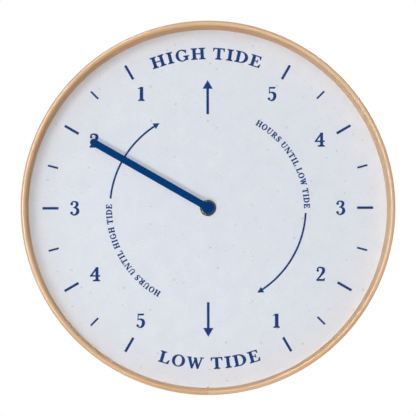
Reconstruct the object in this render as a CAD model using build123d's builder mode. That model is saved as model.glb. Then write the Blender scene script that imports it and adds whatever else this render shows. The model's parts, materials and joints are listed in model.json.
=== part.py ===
"""Round one-hand tide clock for a wall, with its quartz movement.

Millimetres. The clock faces -Y, +X is to the right seen from the front and +Z is up.
The wall is the plane Y = 0, and the origin is the middle of the keyhole that the clock hangs on.
"Depth" is the distance forward from the wall.
"""
import os
from math import cos, radians, sin

from build123d import *

# Rim: a turned wooden ring with a half-round nose
rim_outer_radius = 152.5
rim_depth = 44.0
rim_nose_width = 4.3
rim_lip_depth = 4.0
rim_skirt_thickness = 2.6
rim_back_bevel = 1.0
snap_groove_reach = 1.0
snap_groove_width = 3.4
snap_groove_place = 6.0
case_clearance = 0.3

# Lens, spacer ring and dial stack, measured back from the crest of the nose
lens_thickness = 2.5
lens_edge_bevel = 0.4
dial_recess = 21.0
dial_thickness = 1.0
lug_width = 1.6
lug_reach = 1.0
lug_height = 2.4

# Back pan: a moulded plate with a wall, ribs, a frame round the movement and a keyhole box
pan_plate_thickness = 2.5
pan_wall_thickness = 1.8
pan_wall_stand = 4.5
snap_tab_count = 6
snap_tab_width = 16.0
snap_tab_length = 2.6
snap_play = 0.4
rib_count = 12
rib_thickness = 1.6
rib_height = 4.0
rib_ring_radius = 92.0
frame_height = 6.0
frame_thickness = 1.8
frame_play = 0.4
frame_corner_radius = 3.0

# Hanging keyhole, in its own box near the top of the pan
hang_drop = 112.0
keyhole_entry_radius = 4.5
keyhole_slot_width = 4.6
keyhole_slot_length = 9.0
keyhole_wall_thickness = 2.5
hanger_box_width = 24.0
hanger_box_height = 34.0
hanger_box_wall = 2.0
hanger_box_round = 4.0
hanger_box_centre_share = 0.12

# Movement case
movement_width = 56.0
movement_height = 56.0
movement_depth = 16.0
movement_corner_radius = 3.0
case_wall = 1.2
cover_thickness = 1.2
cover_play = 0.15
cover_lip_height = 1.6
cover_lip_thickness = 1.0
fixed_fit = 0.03
running_fit = 0.05
end_float = 0.15

# Gear plate, on four staked posts
plate_thickness = 1.0
plate_front_gap = 2.9
plate_margin = 1.6
post_radius = 1.6
post_pin_radius = 0.8
post_x_shares = (-0.65, 0.36)
post_z_shares = (-0.265, 0.62)

# Bush, washers and nut through the dial
bush_radius = 4.0
bush_flange_radius = 6.0
bush_flange_thickness = 0.6
bush_stand = 3.0
rubber_radius = 12.0
rubber_thickness = 0.8
nut_radius = 6.75
nut_thickness = 2.1
nut_chamfer = 0.4
nut_slot_width = 1.6
nut_slot_depth = 0.8
nut_washer_radius = 6.4
nut_washer_thickness = 0.4

# Tide hand
hand_length = 111.3
hand_width = 5.8
hand_thickness = 0.6
hand_edge_bevel = 0.15
hand_clock_angle = 299.7
hub_radius = 4.9
hub_height = 1.3
hub_bevel = 0.5
hub_gap = 0.5
collet_radius = 3.7
collet_length = 1.4
cap_radius = 3.05
cap_height = 1.5
cap_bevel = 0.6
cap_stem_length = 1.2

# Motion work: from the centre arbor through the minute wheel to the tide wheel, with its module as a share
motion_module_share = 1 / 140
tide_teeth = 48
minute_pinion_teeth = 12
minute_teeth = 45
cannon_teeth = 15
setting_teeth = 20
tide_pipe_radius = 2.5
centre_arbor_radius = 1.0
wheel_thickness = 0.9
minute_direction = 20.0
setting_direction = -40.0

# Going train: from the rotor to the centre wheel, with its module as a share of the movement's smaller side
train_module_share = 3 / 560
pinion_teeth = 8
intermediate_teeth = 40
second_teeth = 48
third_teeth = 60
centre_teeth = 64
train_wheel_thickness = 0.8
layer_step = 1.6
pinion_overlap = 0.3
third_direction = 130.0
second_direction = 50.0
intermediate_direction = -30.0
rotor_direction = 25.0
arbor_radius = 0.6
pivot_radius = 0.4
pivot_length = 0.7
rotor_arbor_radius = 0.8

# Tooth form, as shares of the module and of the tooth pitch
addendum_share = 0.75
dedendum_share = 1.15
tooth_root_share = 0.46
tooth_tip_share = 0.19

# Setting knob
knob_radius = 5.5
knob_thickness = 1.8
knob_recess_depth = 0.4
knob_stand = 0.3
knob_arbor_radius = 1.2
knob_notch_count = 16
knob_notch_width = 0.8
knob_notch_depth = 0.5

# Stepping motor, with its radii as shares of the movement's smaller side
magnet_radius_share = 0.0464
lobe_radius_share = 0.0768
coil_drop_share = 0.0839
flange_radius_share = 0.0607
winding_radius_share = 0.0518
magnet_thickness = 1.4
stator_gap = 0.6
stator_thickness = 1.0
stator_bar_width = 4.4
stator_leg_width = 3.0
stator_margin = 0.6
core_width = 2.0
core_thickness = 1.0
coil_flange_thickness = 0.8
bobbin_wall = 0.5

# Circuit board and what it carries
board_width = 8.0
board_height_share = 0.536
board_thickness = 1.0
board_stand = 1.1
board_margin = 0.5
chip_radius = 2.8
chip_height = 1.1
crystal_radius = 1.0
crystal_length = 6.0
crystal_gap = 0.05

# Battery in its bay along the lower edge of the movement, as long as the contacts and the leaf leave room for
battery_radius_share = 0.1268
leaf_reach = 2.5
battery_nub_radius = 2.7
battery_nub_length = 1.1
battery_edge_bevel = 0.6
bay_play = 0.3
bay_wall = 1.0
contact_thickness = 0.4
contact_width = 9.0
contact_tab_width = 3.0
leaf_height = 5.0

# Cuts run past the face that they open by this much
overrun = 1.0

# Depths of the stack, all forward from the wall
lip_radius = rim_outer_radius - rim_nose_width
rebate_radius = rim_outer_radius - rim_skirt_thickness
insert_radius = rebate_radius - case_clearance
nose_radius = rim_nose_width / 2
lens_front = rim_depth - rim_lip_depth
lens_rear = lens_front - lens_thickness
dial_front = rim_depth - dial_recess
dial_rear = dial_front - dial_thickness
pan_rear = dial_rear - pan_plate_thickness
movement_front = pan_rear - rubber_thickness
movement_rear = movement_front - movement_depth
case_inside = movement_front - case_wall
cover_inside = movement_rear + cover_thickness
plate_front = case_inside - plate_front_gap
plate_rear = plate_front - plate_thickness
nut_rear = dial_front + nut_washer_thickness
nut_front = nut_rear + nut_thickness
bush_front = dial_front + bush_stand
collet_rear = bush_front + hub_gap
hand_rear = collet_rear + collet_length
hand_front = hand_rear + hand_thickness
hub_front = hand_rear + hub_height

AXIS_Z = -hang_drop
AXIS = Axis((0, 0, AXIS_Z), (0, -1, 0))
SECTION = Plane(origin=(0, 0, AXIS_Z), x_dir=(1, 0, 0), z_dir=(0, 0, -1))


def facing(depth, x=0, z=0, turn=0):
    """A plane parallel to the wall, at x and z from the clock's axis, looking at the viewer."""
    across = (cos(radians(turn)), 0, sin(radians(turn)))
    return Plane(origin=(x, -depth, AXIS_Z + z), x_dir=across, z_dir=(0, -1, 0))


def polar(radius, degrees):
    """The point at this radius and angle, counter-clockwise from the right."""
    return (radius * cos(radians(degrees)), radius * sin(radians(degrees)))


def tooth_corners(teeth, module, phase):
    """Corners of a wheel with straight-flanked stub teeth, one tooth's middle at the phase angle."""
    pitch = 360 / teeth
    tip = module * (teeth / 2 + addendum_share)
    root = module * (teeth / 2 - dedendum_share)
    corners = []
    for tooth in range(teeth):
        middle = phase + tooth * pitch
        corners.append(polar(root, middle - tooth_root_share * pitch / 2))
        corners.append(polar(tip, middle - tooth_tip_share * pitch / 2))
        corners.append(polar(tip, middle + tooth_tip_share * pitch / 2))
        corners.append(polar(root, middle + tooth_root_share * pitch / 2))
    return corners


def meshing_phase(teeth, phase, mate_teeth, direction):
    """Phase of a mate that lies in this direction, so that its gap meets the wheel's tooth."""
    place_share = (direction - phase) * teeth / 360
    return direction + 180 - (0.5 - place_share) * 360 / mate_teeth


def mate_place(start, direction, module, teeth, mate_teeth):
    """Where the mate's axis lies, one centre distance away from the start."""
    x, z = polar(module * (teeth + mate_teeth) / 2, direction)
    return (start[0] + x, start[1] + z)


def finish(builder, name):
    """Label the piece and write its file."""
    builder.part.label = name
    export_step(builder.part, f"parts/{name}.step")


os.makedirs("parts", exist_ok=True)

# What follows the movement's smaller side
movement_size = min(movement_width, movement_height)
motion_module = movement_size * motion_module_share
train_module = movement_size * train_module_share
magnet_radius = movement_size * magnet_radius_share
stator_lobe_radius = movement_size * lobe_radius_share
coil_drop = movement_size * coil_drop_share
coil_flange_radius = movement_size * flange_radius_share
coil_winding_radius = movement_size * winding_radius_share
board_height = movement_size * board_height_share
battery_radius = movement_size * battery_radius_share

# Axes of the motion work and of the going train, from the clock's axis
centre = (0, 0)
minute_place = mate_place(centre, minute_direction, motion_module, cannon_teeth, minute_teeth)
setting_place = mate_place(minute_place, setting_direction, motion_module, minute_teeth, setting_teeth)
third_place = mate_place(centre, third_direction, train_module, centre_teeth, pinion_teeth)
second_place = mate_place(third_place, second_direction, train_module, third_teeth, pinion_teeth)
intermediate_place = mate_place(
    second_place, intermediate_direction, train_module, second_teeth, pinion_teeth)
rotor_place = mate_place(
    intermediate_place, rotor_direction, train_module, intermediate_teeth, pinion_teeth)

# Phases, so that every pair stands in mesh
minute_pinion_phase = meshing_phase(tide_teeth, 0, minute_pinion_teeth, minute_direction)
minute_phase = meshing_phase(cannon_teeth, 0, minute_teeth, minute_direction)
setting_phase = meshing_phase(minute_teeth, minute_phase, setting_teeth, setting_direction)
third_pinion_phase = meshing_phase(centre_teeth, 0, pinion_teeth, third_direction)
second_pinion_phase = meshing_phase(third_teeth, 0, pinion_teeth, second_direction)
intermediate_pinion_phase = meshing_phase(second_teeth, 0, pinion_teeth, intermediate_direction)
rotor_pinion_phase = meshing_phase(intermediate_teeth, 0, pinion_teeth, rotor_direction)

# Depths of the wheels
tide_front = case_inside - end_float
tide_rear = tide_front - wheel_thickness
minute_front = tide_rear - end_float
minute_rear = minute_front - wheel_thickness
centre_front = plate_rear - pinion_overlap - end_float
centre_rear = centre_front - train_wheel_thickness
third_front = centre_front - layer_step
third_rear = third_front - train_wheel_thickness
second_front = third_front - layer_step
second_rear = second_front - train_wheel_thickness
intermediate_front = second_front - layer_step
intermediate_rear = intermediate_front - train_wheel_thickness
magnet_front = intermediate_rear - pinion_overlap - end_float
magnet_rear = magnet_front - magnet_thickness
stator_middle = (magnet_front + magnet_rear) / 2
stator_front = stator_middle + stator_thickness / 2
stator_rear = stator_front - stator_thickness

# Movement box and battery bay, from the clock's axis
inner_half_width = movement_width / 2 - case_wall
inner_half_height = movement_height / 2 - case_wall
battery_z = -inner_half_height + bay_play + battery_radius
battery_depth = case_inside - bay_play - battery_radius
bay_top = battery_z + battery_radius + bay_play
chamber_bottom = bay_top + bay_wall
coil_z = inner_half_height - coil_drop + bay_play
core_depth = stator_front + core_thickness / 2
chamber_middle = (chamber_bottom + inner_half_height) / 2
chamber_height = inner_half_height - chamber_bottom
cover_top = movement_height / 2
cover_bottom = bay_top
posts = [(x * movement_width / 2, z * movement_height / 2) for x in post_x_shares for z in post_z_shares]

# Rim
with BuildPart() as rim:
    with BuildSketch(SECTION):
        with BuildLine():
            nose_base = rim_depth - nose_radius
            ThreePointArc((rim_outer_radius, nose_base),
                          (rim_outer_radius - nose_radius, rim_depth), (lip_radius, nose_base))
            Polyline((lip_radius, nose_base), (lip_radius, lens_front), (rebate_radius, lens_front),
                     (rebate_radius, 0), (rim_outer_radius - rim_back_bevel, 0),
                     (rim_outer_radius, rim_back_bevel), (rim_outer_radius, nose_base))
        make_face()
        with Locations((rebate_radius + snap_groove_reach / 2, snap_groove_place + snap_groove_width / 2)):
            Rectangle(snap_groove_reach, snap_groove_width, mode=Mode.SUBTRACT)
    revolve(axis=AXIS)
finish(rim, "rim")

# Lens
with BuildPart() as lens:
    with BuildSketch(facing(lens_rear)):
        Circle(insert_radius)
    extrude(amount=lens_thickness)
    chamfer(lens.edges().filter_by(GeomType.CIRCLE), lens_edge_bevel)
finish(lens, "lens")

# Spacer ring, with the lug at six o'clock that keys the dial
with BuildPart() as spacer_ring:
    with BuildSketch(facing(dial_front)):
        Circle(insert_radius)
        Circle(lip_radius, mode=Mode.SUBTRACT)
    extrude(amount=lens_rear - dial_front)
    with BuildSketch(facing(dial_rear)):
        with Locations((0, -lip_radius)):
            Rectangle(lug_width, lug_reach * 2)
        Circle(insert_radius, mode=Mode.INTERSECT)
    extrude(amount=dial_thickness + lug_height)
finish(spacer_ring, "spacer_ring")

# Dial
with BuildPart() as dial:
    with BuildSketch(facing(dial_rear)):
        Circle(insert_radius)
        Circle(bush_radius + case_clearance, mode=Mode.SUBTRACT)
        with Locations((0, -(lip_radius + insert_radius) / 2)):
            Rectangle(lug_width + case_clearance, insert_radius - lip_radius + lug_reach * 2 + case_clearance,
                      mode=Mode.SUBTRACT)
    extrude(amount=dial_thickness)
finish(dial, "dial")

# Back pan
frame_inner_width = movement_width + frame_play * 2
frame_inner_height = movement_height + frame_play * 2
frame_outer_width = frame_inner_width + frame_thickness * 2
frame_outer_height = frame_inner_height + frame_thickness * 2
pan_inner_radius = insert_radius - pan_wall_thickness
pan_wall_length = pan_rear - pan_wall_stand
box_z = hang_drop + hanger_box_height * hanger_box_centre_share
tab_rear = snap_groove_place + snap_play
with BuildPart() as back_pan:
    with BuildSketch(facing(pan_rear)):
        Circle(insert_radius)
    extrude(amount=pan_plate_thickness)
    with BuildSketch(facing(pan_wall_stand)):
        Circle(insert_radius)
        Circle(pan_inner_radius, mode=Mode.SUBTRACT)
    extrude(amount=pan_wall_length)
    # Snap tabs stand out of the wall into the groove of the rim
    with BuildSketch(facing(tab_rear)):
        with PolarLocations(insert_radius, snap_tab_count, start_angle=180 / snap_tab_count):
            Rectangle(snap_groove_reach * 2 + pan_wall_thickness, snap_tab_width)
        Circle(rebate_radius + snap_groove_reach - case_clearance, mode=Mode.INTERSECT)
        Circle(pan_inner_radius, mode=Mode.SUBTRACT)
    extrude(amount=snap_tab_length)
    # Radial ribs, and one round rib that ties them together
    with BuildSketch(facing(pan_rear - rib_height)):
        with PolarLocations((pan_inner_radius + movement_width / 2) / 2, rib_count):
            Rectangle(pan_inner_radius - movement_width / 2 + pan_wall_thickness, rib_thickness)
        Circle(rib_ring_radius + rib_thickness / 2)
        Circle(rib_ring_radius - rib_thickness / 2, mode=Mode.SUBTRACT)
        with PolarLocations((pan_inner_radius + movement_width / 2) / 2, rib_count):
            Rectangle(pan_inner_radius - movement_width / 2 + pan_wall_thickness, rib_thickness)
        RectangleRounded(frame_inner_width, frame_inner_height, frame_corner_radius, mode=Mode.SUBTRACT)
        with Locations((0, box_z)):
            Rectangle(hanger_box_width - hanger_box_wall, hanger_box_height - hanger_box_wall,
                      mode=Mode.SUBTRACT)
    extrude(amount=rib_height)
    # Frame that the movement drops into
    with BuildSketch(facing(pan_rear - frame_height)):
        RectangleRounded(frame_outer_width, frame_outer_height, frame_corner_radius + frame_thickness)
        RectangleRounded(frame_inner_width, frame_inner_height, frame_corner_radius, mode=Mode.SUBTRACT)
    extrude(amount=frame_height)
    # Keyhole box, hollow behind its wall so that a screw head has room
    with BuildSketch(facing(0, z=box_z)):
        RectangleRounded(hanger_box_width, hanger_box_height, hanger_box_round)
    extrude(amount=pan_rear)
    with BuildSketch(facing(keyhole_wall_thickness, z=box_z)):
        RectangleRounded(hanger_box_width - hanger_box_wall * 2, hanger_box_height - hanger_box_wall * 2,
                         hanger_box_round - hanger_box_wall)
    extrude(amount=pan_rear - keyhole_wall_thickness, mode=Mode.SUBTRACT)
    with BuildSketch(facing(-overrun, z=hang_drop)):
        Circle(keyhole_entry_radius)
        with Locations((0, keyhole_slot_length / 2)):
            Rectangle(keyhole_slot_width, keyhole_slot_length)
        with Locations((0, keyhole_slot_length)):
            Circle(keyhole_slot_width / 2)
    extrude(amount=keyhole_wall_thickness + overrun * 2, mode=Mode.SUBTRACT)
    # Hole for the movement's bush
    with BuildSketch(facing(pan_rear - overrun)):
        Circle(bush_radius + case_clearance)
    extrude(amount=pan_plate_thickness + overrun * 2, mode=Mode.SUBTRACT)
finish(back_pan, "back_pan")

# Rubber washer between the movement and the pan
with BuildPart() as rubber_washer:
    with BuildSketch(facing(movement_front)):
        Circle(rubber_radius)
        Circle(bush_flange_radius + case_clearance, mode=Mode.SUBTRACT)
    extrude(amount=rubber_thickness)
finish(rubber_washer, "rubber_washer")

# Movement front case: a box open to the back, with the battery bay walled off
with BuildPart() as movement_front_case:
    with BuildSketch(facing(movement_rear)):
        RectangleRounded(movement_width, movement_height, movement_corner_radius)
    extrude(amount=movement_depth)
    with BuildSketch(facing(movement_rear)):
        with Locations((0, (bay_top - inner_half_height) / 2)):
            Rectangle(inner_half_width * 2, bay_top + inner_half_height)
        with Locations((0, chamber_middle)):
            Rectangle(inner_half_width * 2, chamber_height)
    extrude(amount=movement_depth - case_wall, mode=Mode.SUBTRACT)
    # The back cover lies in a step that is cut into the chamber's walls
    with BuildSketch(facing(movement_rear)):
        with Locations((0, (cover_top + cover_bottom) / 2)):
            Rectangle(movement_width + overrun, cover_top - cover_bottom + overrun)
        with Locations((0, bay_top - movement_height / 2)):
            Rectangle(movement_width + overrun, movement_height, mode=Mode.SUBTRACT)
    extrude(amount=cover_thickness, mode=Mode.SUBTRACT)
    # Posts and their pins carry the gear plate
    with BuildSketch(facing(plate_front)):
        with Locations(*posts):
            Circle(post_radius)
    extrude(amount=case_inside - plate_front)
    with BuildSketch(facing(plate_rear)):
        with Locations(*posts):
            Circle(post_pin_radius)
    extrude(amount=plate_thickness)
    # Slot in the bay's wall for the contacts' tabs
    with BuildSketch(facing(movement_rear)):
        for side in (-1, 1):
            with Locations((side * (inner_half_width - contact_tab_width / 2), bay_top + bay_wall / 2)):
                Rectangle(contact_tab_width, bay_wall + overrun)
    extrude(amount=movement_depth - case_wall, mode=Mode.SUBTRACT)
    # Hole for the bush, and blind bearings of the minute wheel and of the setting arbor
    with BuildSketch(facing(case_inside - overrun)):
        Circle(bush_radius + fixed_fit)
    extrude(amount=case_wall + overrun * 2, mode=Mode.SUBTRACT)
    with BuildSketch(facing(case_inside)):
        with Locations(minute_place, setting_place):
            Circle(pivot_radius + running_fit)
    extrude(amount=pivot_length + end_float, mode=Mode.SUBTRACT)
finish(movement_front_case, "movement_front_case")

# Gear plate: holes for the staked pins, the pivots and the two arbors that pass through
with BuildPart() as gear_plate:
    plate_left = posts[0][0] - post_radius - plate_margin
    plate_right = setting_place[0] + knob_arbor_radius + plate_margin
    plate_bottom = posts[0][1] - post_radius
    plate_top = posts[1][1] + post_radius + plate_margin
    with BuildSketch(facing(plate_rear)):
        with Locations(((plate_left + plate_right) / 2, (plate_bottom + plate_top) / 2)):
            RectangleRounded(plate_right - plate_left, plate_top - plate_bottom, post_radius)
        with Locations(*posts):
            Circle(post_pin_radius + fixed_fit, mode=Mode.SUBTRACT)
        with Locations(minute_place, third_place, second_place, intermediate_place, rotor_place):
            Circle(pivot_radius + running_fit, mode=Mode.SUBTRACT)
        Circle(centre_arbor_radius + running_fit, mode=Mode.SUBTRACT)
        with Locations(setting_place):
            Circle(knob_arbor_radius + running_fit, mode=Mode.SUBTRACT)
    extrude(amount=plate_thickness)
finish(gear_plate, "gear_plate")

# Back cover: closes the wheel chamber, carries the rear pivots, the motor and the circuit board
board_x = -inner_half_width + cover_lip_thickness + board_margin + board_width / 2
board_rear = cover_inside + board_stand
board_z = inner_half_height - board_margin - cover_lip_thickness - board_height / 2
stator_left = stator_margin + stator_leg_width
stator_right = inner_half_width - cover_lip_thickness - stator_margin
leg_left_x = stator_left + stator_leg_width / 2
leg_right_x = stator_right - stator_leg_width / 2
leg_places = [(leg_left_x, coil_z), (leg_right_x, coil_z)]
board_places = [(board_x, board_z + side * (board_height / 2 - board_width / 2)) for side in (-1, 1)]
lip_width = inner_half_width * 2 - cover_play * 2
lip_height = chamber_height - cover_play * 2
with BuildPart() as movement_back_cover:
    with BuildSketch(facing(movement_rear)):
        with Locations((0, (cover_top + cover_bottom) / 2)):
            Rectangle(movement_width, cover_top - cover_bottom)
    extrude(amount=cover_thickness)
    corner_edges = movement_back_cover.edges().filter_by(Axis.Y).group_by(Axis.Z)[-1]
    fillet(corner_edges, movement_corner_radius)
    with BuildSketch(facing(cover_inside)):
        with Locations((0, chamber_middle)):
            Rectangle(lip_width, lip_height)
            Rectangle(lip_width - cover_lip_thickness * 2, lip_height - cover_lip_thickness * 2,
                      mode=Mode.SUBTRACT)
    extrude(amount=cover_lip_height)
    # The contacts' tabs come in through the lip at both lower corners
    with BuildSketch(facing(cover_inside)):
        for side in (-1, 1):
            with Locations((side * (inner_half_width - contact_tab_width / 2), chamber_bottom)):
                Rectangle(contact_tab_width + overrun, contact_tab_width + overrun)
    extrude(amount=cover_lip_height, mode=Mode.SUBTRACT)
    with BuildSketch(facing(cover_inside)):
        with Locations(*leg_places):
            Circle(stator_leg_width / 2)
    extrude(amount=stator_rear - cover_inside)
    with BuildSketch(facing(cover_inside)):
        with Locations(*board_places):
            Circle(board_width / 4)
    extrude(amount=board_stand)
    # Blind bearings, the setting arbor's hole and the dish round the knob
    with BuildSketch(facing(cover_inside - pivot_length - end_float)):
        with Locations(centre, third_place, second_place, intermediate_place, rotor_place):
            Circle(pivot_radius + running_fit)
    extrude(amount=pivot_length + end_float, mode=Mode.SUBTRACT)
    with BuildSketch(facing(movement_rear - overrun)):
        with Locations(setting_place):
            Circle(knob_arbor_radius + running_fit)
    extrude(amount=cover_thickness + overrun * 2, mode=Mode.SUBTRACT)
    with BuildSketch(facing(movement_rear)):
        with Locations(setting_place):
            Circle(knob_radius + case_clearance)
    extrude(amount=knob_recess_depth, mode=Mode.SUBTRACT)
finish(movement_back_cover, "movement_back_cover")

# Threaded bush, plain here: a flanged tube through the case, the pan and the dial
with BuildPart() as threaded_bush:
    with BuildSketch(facing(case_inside)):
        Circle(bush_radius)
    extrude(amount=bush_front - case_inside)
    with BuildSketch(facing(movement_front)):
        Circle(bush_flange_radius)
    extrude(amount=bush_flange_thickness)
    with BuildSketch(facing(case_inside - overrun)):
        Circle(tide_pipe_radius + running_fit)
    extrude(amount=bush_front - case_inside + overrun * 2, mode=Mode.SUBTRACT)
finish(threaded_bush, "threaded_bush")

# Washer and slotted round nut on the dial
with BuildPart() as nut_washer:
    with BuildSketch(facing(dial_front)):
        Circle(nut_washer_radius)
        Circle(bush_radius + fixed_fit, mode=Mode.SUBTRACT)
    extrude(amount=nut_washer_thickness)
finish(nut_washer, "nut_washer")

with BuildPart() as mounting_nut:
    with BuildSketch(facing(nut_rear)):
        Circle(nut_radius)
    extrude(amount=nut_thickness)
    front_edge = mounting_nut.edges().filter_by(GeomType.CIRCLE).sort_by(Axis.Y)[0]
    chamfer(front_edge, nut_chamfer)
    with BuildSketch(facing(nut_rear - overrun)):
        Circle(bush_radius + fixed_fit)
    extrude(amount=nut_thickness + overrun * 2, mode=Mode.SUBTRACT)
    with BuildSketch(facing(nut_front - nut_slot_depth)):
        Rectangle(nut_slot_width, nut_radius * 2 + overrun)
    extrude(amount=nut_slot_depth + overrun, mode=Mode.SUBTRACT)
finish(mounting_nut, "mounting_nut")

# Tide hand: a flat blade with a round tip and a raised hub
hand_angle = 90 - hand_clock_angle
with BuildPart() as tide_hand:
    tip_centre = hand_length - hand_width / 2
    with BuildSketch(facing(hand_rear, turn=hand_angle)):
        with Locations((tip_centre / 2, 0)):
            Rectangle(tip_centre, hand_width)
        with Locations((tip_centre, 0)):
            Circle(hand_width / 2)
    extrude(amount=hand_thickness)
    chamfer(tide_hand.faces().sort_by(Axis.Y)[0].edges(), hand_edge_bevel)
    with BuildSketch(facing(hand_rear)):
        Circle(hub_radius)
    extrude(amount=hub_height)
    chamfer(tide_hand.faces().sort_by(Axis.Y)[0].edges(), hub_bevel)
    with BuildSketch(facing(hand_rear - overrun)):
        Circle(tide_pipe_radius + fixed_fit)
    extrude(amount=hub_height + overrun * 2, mode=Mode.SUBTRACT)
finish(tide_hand, "tide_hand")

# Collet under the hand, pressed on the tide wheel's pipe
with BuildPart() as hand_bush:
    with BuildSketch(facing(collet_rear)):
        Circle(collet_radius)
        Circle(tide_pipe_radius + fixed_fit, mode=Mode.SUBTRACT)
    extrude(amount=collet_length)
finish(hand_bush, "hand_bush")

# Cap with a stem that plugs the end of the pipe
stem_radius = centre_arbor_radius
with BuildPart() as hand_cap:
    with BuildSketch(facing(hub_front)):
        Circle(cap_radius)
    extrude(amount=cap_height)
    chamfer(hand_cap.faces().sort_by(Axis.Y)[0].edges(), cap_bevel)
    with BuildSketch(facing(hub_front - cap_stem_length)):
        Circle(stem_radius)
    extrude(amount=cap_stem_length)
finish(hand_cap, "hand_cap")

# Tide wheel, with the pipe that carries the hand
pipe_bore = centre_arbor_radius + running_fit
with BuildPart() as tide_wheel:
    with BuildSketch(facing(tide_rear)):
        Polygon(*tooth_corners(tide_teeth, motion_module, 0), align=None)
    extrude(amount=wheel_thickness)
    with BuildSketch(facing(tide_rear)):
        Circle(tide_pipe_radius)
    extrude(amount=hub_front - tide_rear)
    with BuildSketch(facing(tide_rear - overrun)):
        Circle(pipe_bore)
    extrude(amount=hub_front - tide_rear + overrun * 2, mode=Mode.SUBTRACT)
finish(tide_wheel, "tide_wheel")

# Minute wheel, with the pinion that drives the tide wheel
with BuildPart() as minute_wheel:
    with BuildSketch(facing(minute_rear, *minute_place)):
        Polygon(*tooth_corners(minute_teeth, motion_module, minute_phase), align=None)
    extrude(amount=wheel_thickness)
    with BuildSketch(facing(minute_rear, *minute_place)):
        Polygon(*tooth_corners(minute_pinion_teeth, motion_module, minute_pinion_phase), align=None)
    extrude(amount=tide_front - minute_rear)
    with BuildSketch(facing(plate_front + end_float, *minute_place)):
        Circle(arbor_radius)
    extrude(amount=minute_rear - plate_front - end_float)
    with BuildSketch(facing(plate_rear, *minute_place)):
        Circle(pivot_radius)
    extrude(amount=case_inside + pivot_length - plate_rear)
finish(minute_wheel, "minute_wheel")

# Centre arbor, with the cannon pinion
cannon_rear = minute_rear - end_float
with BuildPart() as centre_arbor:
    with BuildSketch(facing(cannon_rear)):
        Polygon(*tooth_corners(cannon_teeth, motion_module, 0), align=None)
    extrude(amount=minute_front - cannon_rear)
    with BuildSketch(facing(cover_inside + end_float)):
        Circle(centre_arbor_radius)
    extrude(amount=bush_front - cover_inside - end_float)
    with BuildSketch(facing(cover_inside - pivot_length)):
        Circle(pivot_radius)
    extrude(amount=pivot_length + end_float)
finish(centre_arbor, "centre_arbor")

# Centre wheel, which slips on the centre arbor when the hand is set
with BuildPart() as centre_wheel:
    with BuildSketch(facing(centre_rear)):
        Polygon(*tooth_corners(centre_teeth, train_module, 0), align=None)
    extrude(amount=train_wheel_thickness)
    with BuildSketch(facing(centre_rear)):
        Circle(centre_arbor_radius * 2)
    extrude(amount=train_wheel_thickness + pinion_overlap)
    with BuildSketch(facing(centre_rear - overrun)):
        Circle(centre_arbor_radius + running_fit)
    extrude(amount=train_wheel_thickness + overrun * 2, mode=Mode.SUBTRACT)
finish(centre_wheel, "centre_wheel")


def train_wheel(name, place, teeth, rear, mate_rear, pinion_phase):
    """A wheel of the going train on its arbor, with a pinion that drives the mate in front of it."""
    with BuildPart() as wheel:
        with BuildSketch(facing(rear, *place)):
            Polygon(*tooth_corners(teeth, train_module, 0), align=None)
        extrude(amount=train_wheel_thickness)
        pinion_rear = mate_rear - pinion_overlap
        with BuildSketch(facing(pinion_rear, *place)):
            Polygon(*tooth_corners(pinion_teeth, train_module, pinion_phase), align=None)
        extrude(amount=train_wheel_thickness + pinion_overlap * 2)
        with BuildSketch(facing(cover_inside + end_float, *place)):
            Circle(arbor_radius)
        extrude(amount=plate_rear - cover_inside - end_float * 2)
        with BuildSketch(facing(cover_inside - pivot_length, *place)):
            Circle(pivot_radius)
        extrude(amount=plate_rear - cover_inside + pivot_length * 2)
    finish(wheel, name)


train_wheel("third_wheel", third_place, third_teeth, third_rear, centre_rear, third_pinion_phase)
train_wheel("second_wheel", second_place, second_teeth, second_rear, third_rear, second_pinion_phase)
train_wheel("intermediate_wheel", intermediate_place, intermediate_teeth, intermediate_rear, second_rear,
            intermediate_pinion_phase)

# Rotor: a pinion on an arbor that carries the ring magnet
with BuildPart() as rotor:
    pinion_rear = intermediate_rear - pinion_overlap
    with BuildSketch(facing(pinion_rear, *rotor_place)):
        Polygon(*tooth_corners(pinion_teeth, train_module, rotor_pinion_phase), align=None)
    extrude(amount=train_wheel_thickness + pinion_overlap * 2)
    with BuildSketch(facing(cover_inside + end_float, *rotor_place)):
        Circle(rotor_arbor_radius)
    extrude(amount=plate_rear - cover_inside - end_float * 2)
    with BuildSketch(facing(cover_inside - pivot_length, *rotor_place)):
        Circle(pivot_radius)
    extrude(amount=plate_rear - cover_inside + pivot_length * 2)
finish(rotor, "rotor")

with BuildPart() as rotor_magnet:
    with BuildSketch(facing(magnet_rear, *rotor_place)):
        Circle(magnet_radius)
        Circle(rotor_arbor_radius + fixed_fit, mode=Mode.SUBTRACT)
    extrude(amount=magnet_thickness)
finish(rotor_magnet, "rotor_magnet")

# Stator: a bar with a round lobe at the rotor and a leg at each end, under the coil's core
leg_bottom = rotor_place[1] - stator_bar_width / 2
leg_top = coil_z + core_width / 2
with BuildPart() as stator:
    with BuildSketch(facing(stator_rear)):
        with Locations(((stator_left + stator_right) / 2, rotor_place[1])):
            Rectangle(stator_right - stator_left, stator_bar_width)
        with Locations(*[(x, (leg_bottom + leg_top) / 2) for x in (leg_left_x, leg_right_x)]):
            Rectangle(stator_leg_width, leg_top - leg_bottom)
        with Locations(rotor_place):
            Circle(stator_lobe_radius)
            Circle(magnet_radius + stator_gap, mode=Mode.SUBTRACT)
        with Locations(intermediate_place):
            Circle(arbor_radius + case_clearance, mode=Mode.SUBTRACT)
    extrude(amount=stator_thickness)
finish(stator, "stator")

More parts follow.
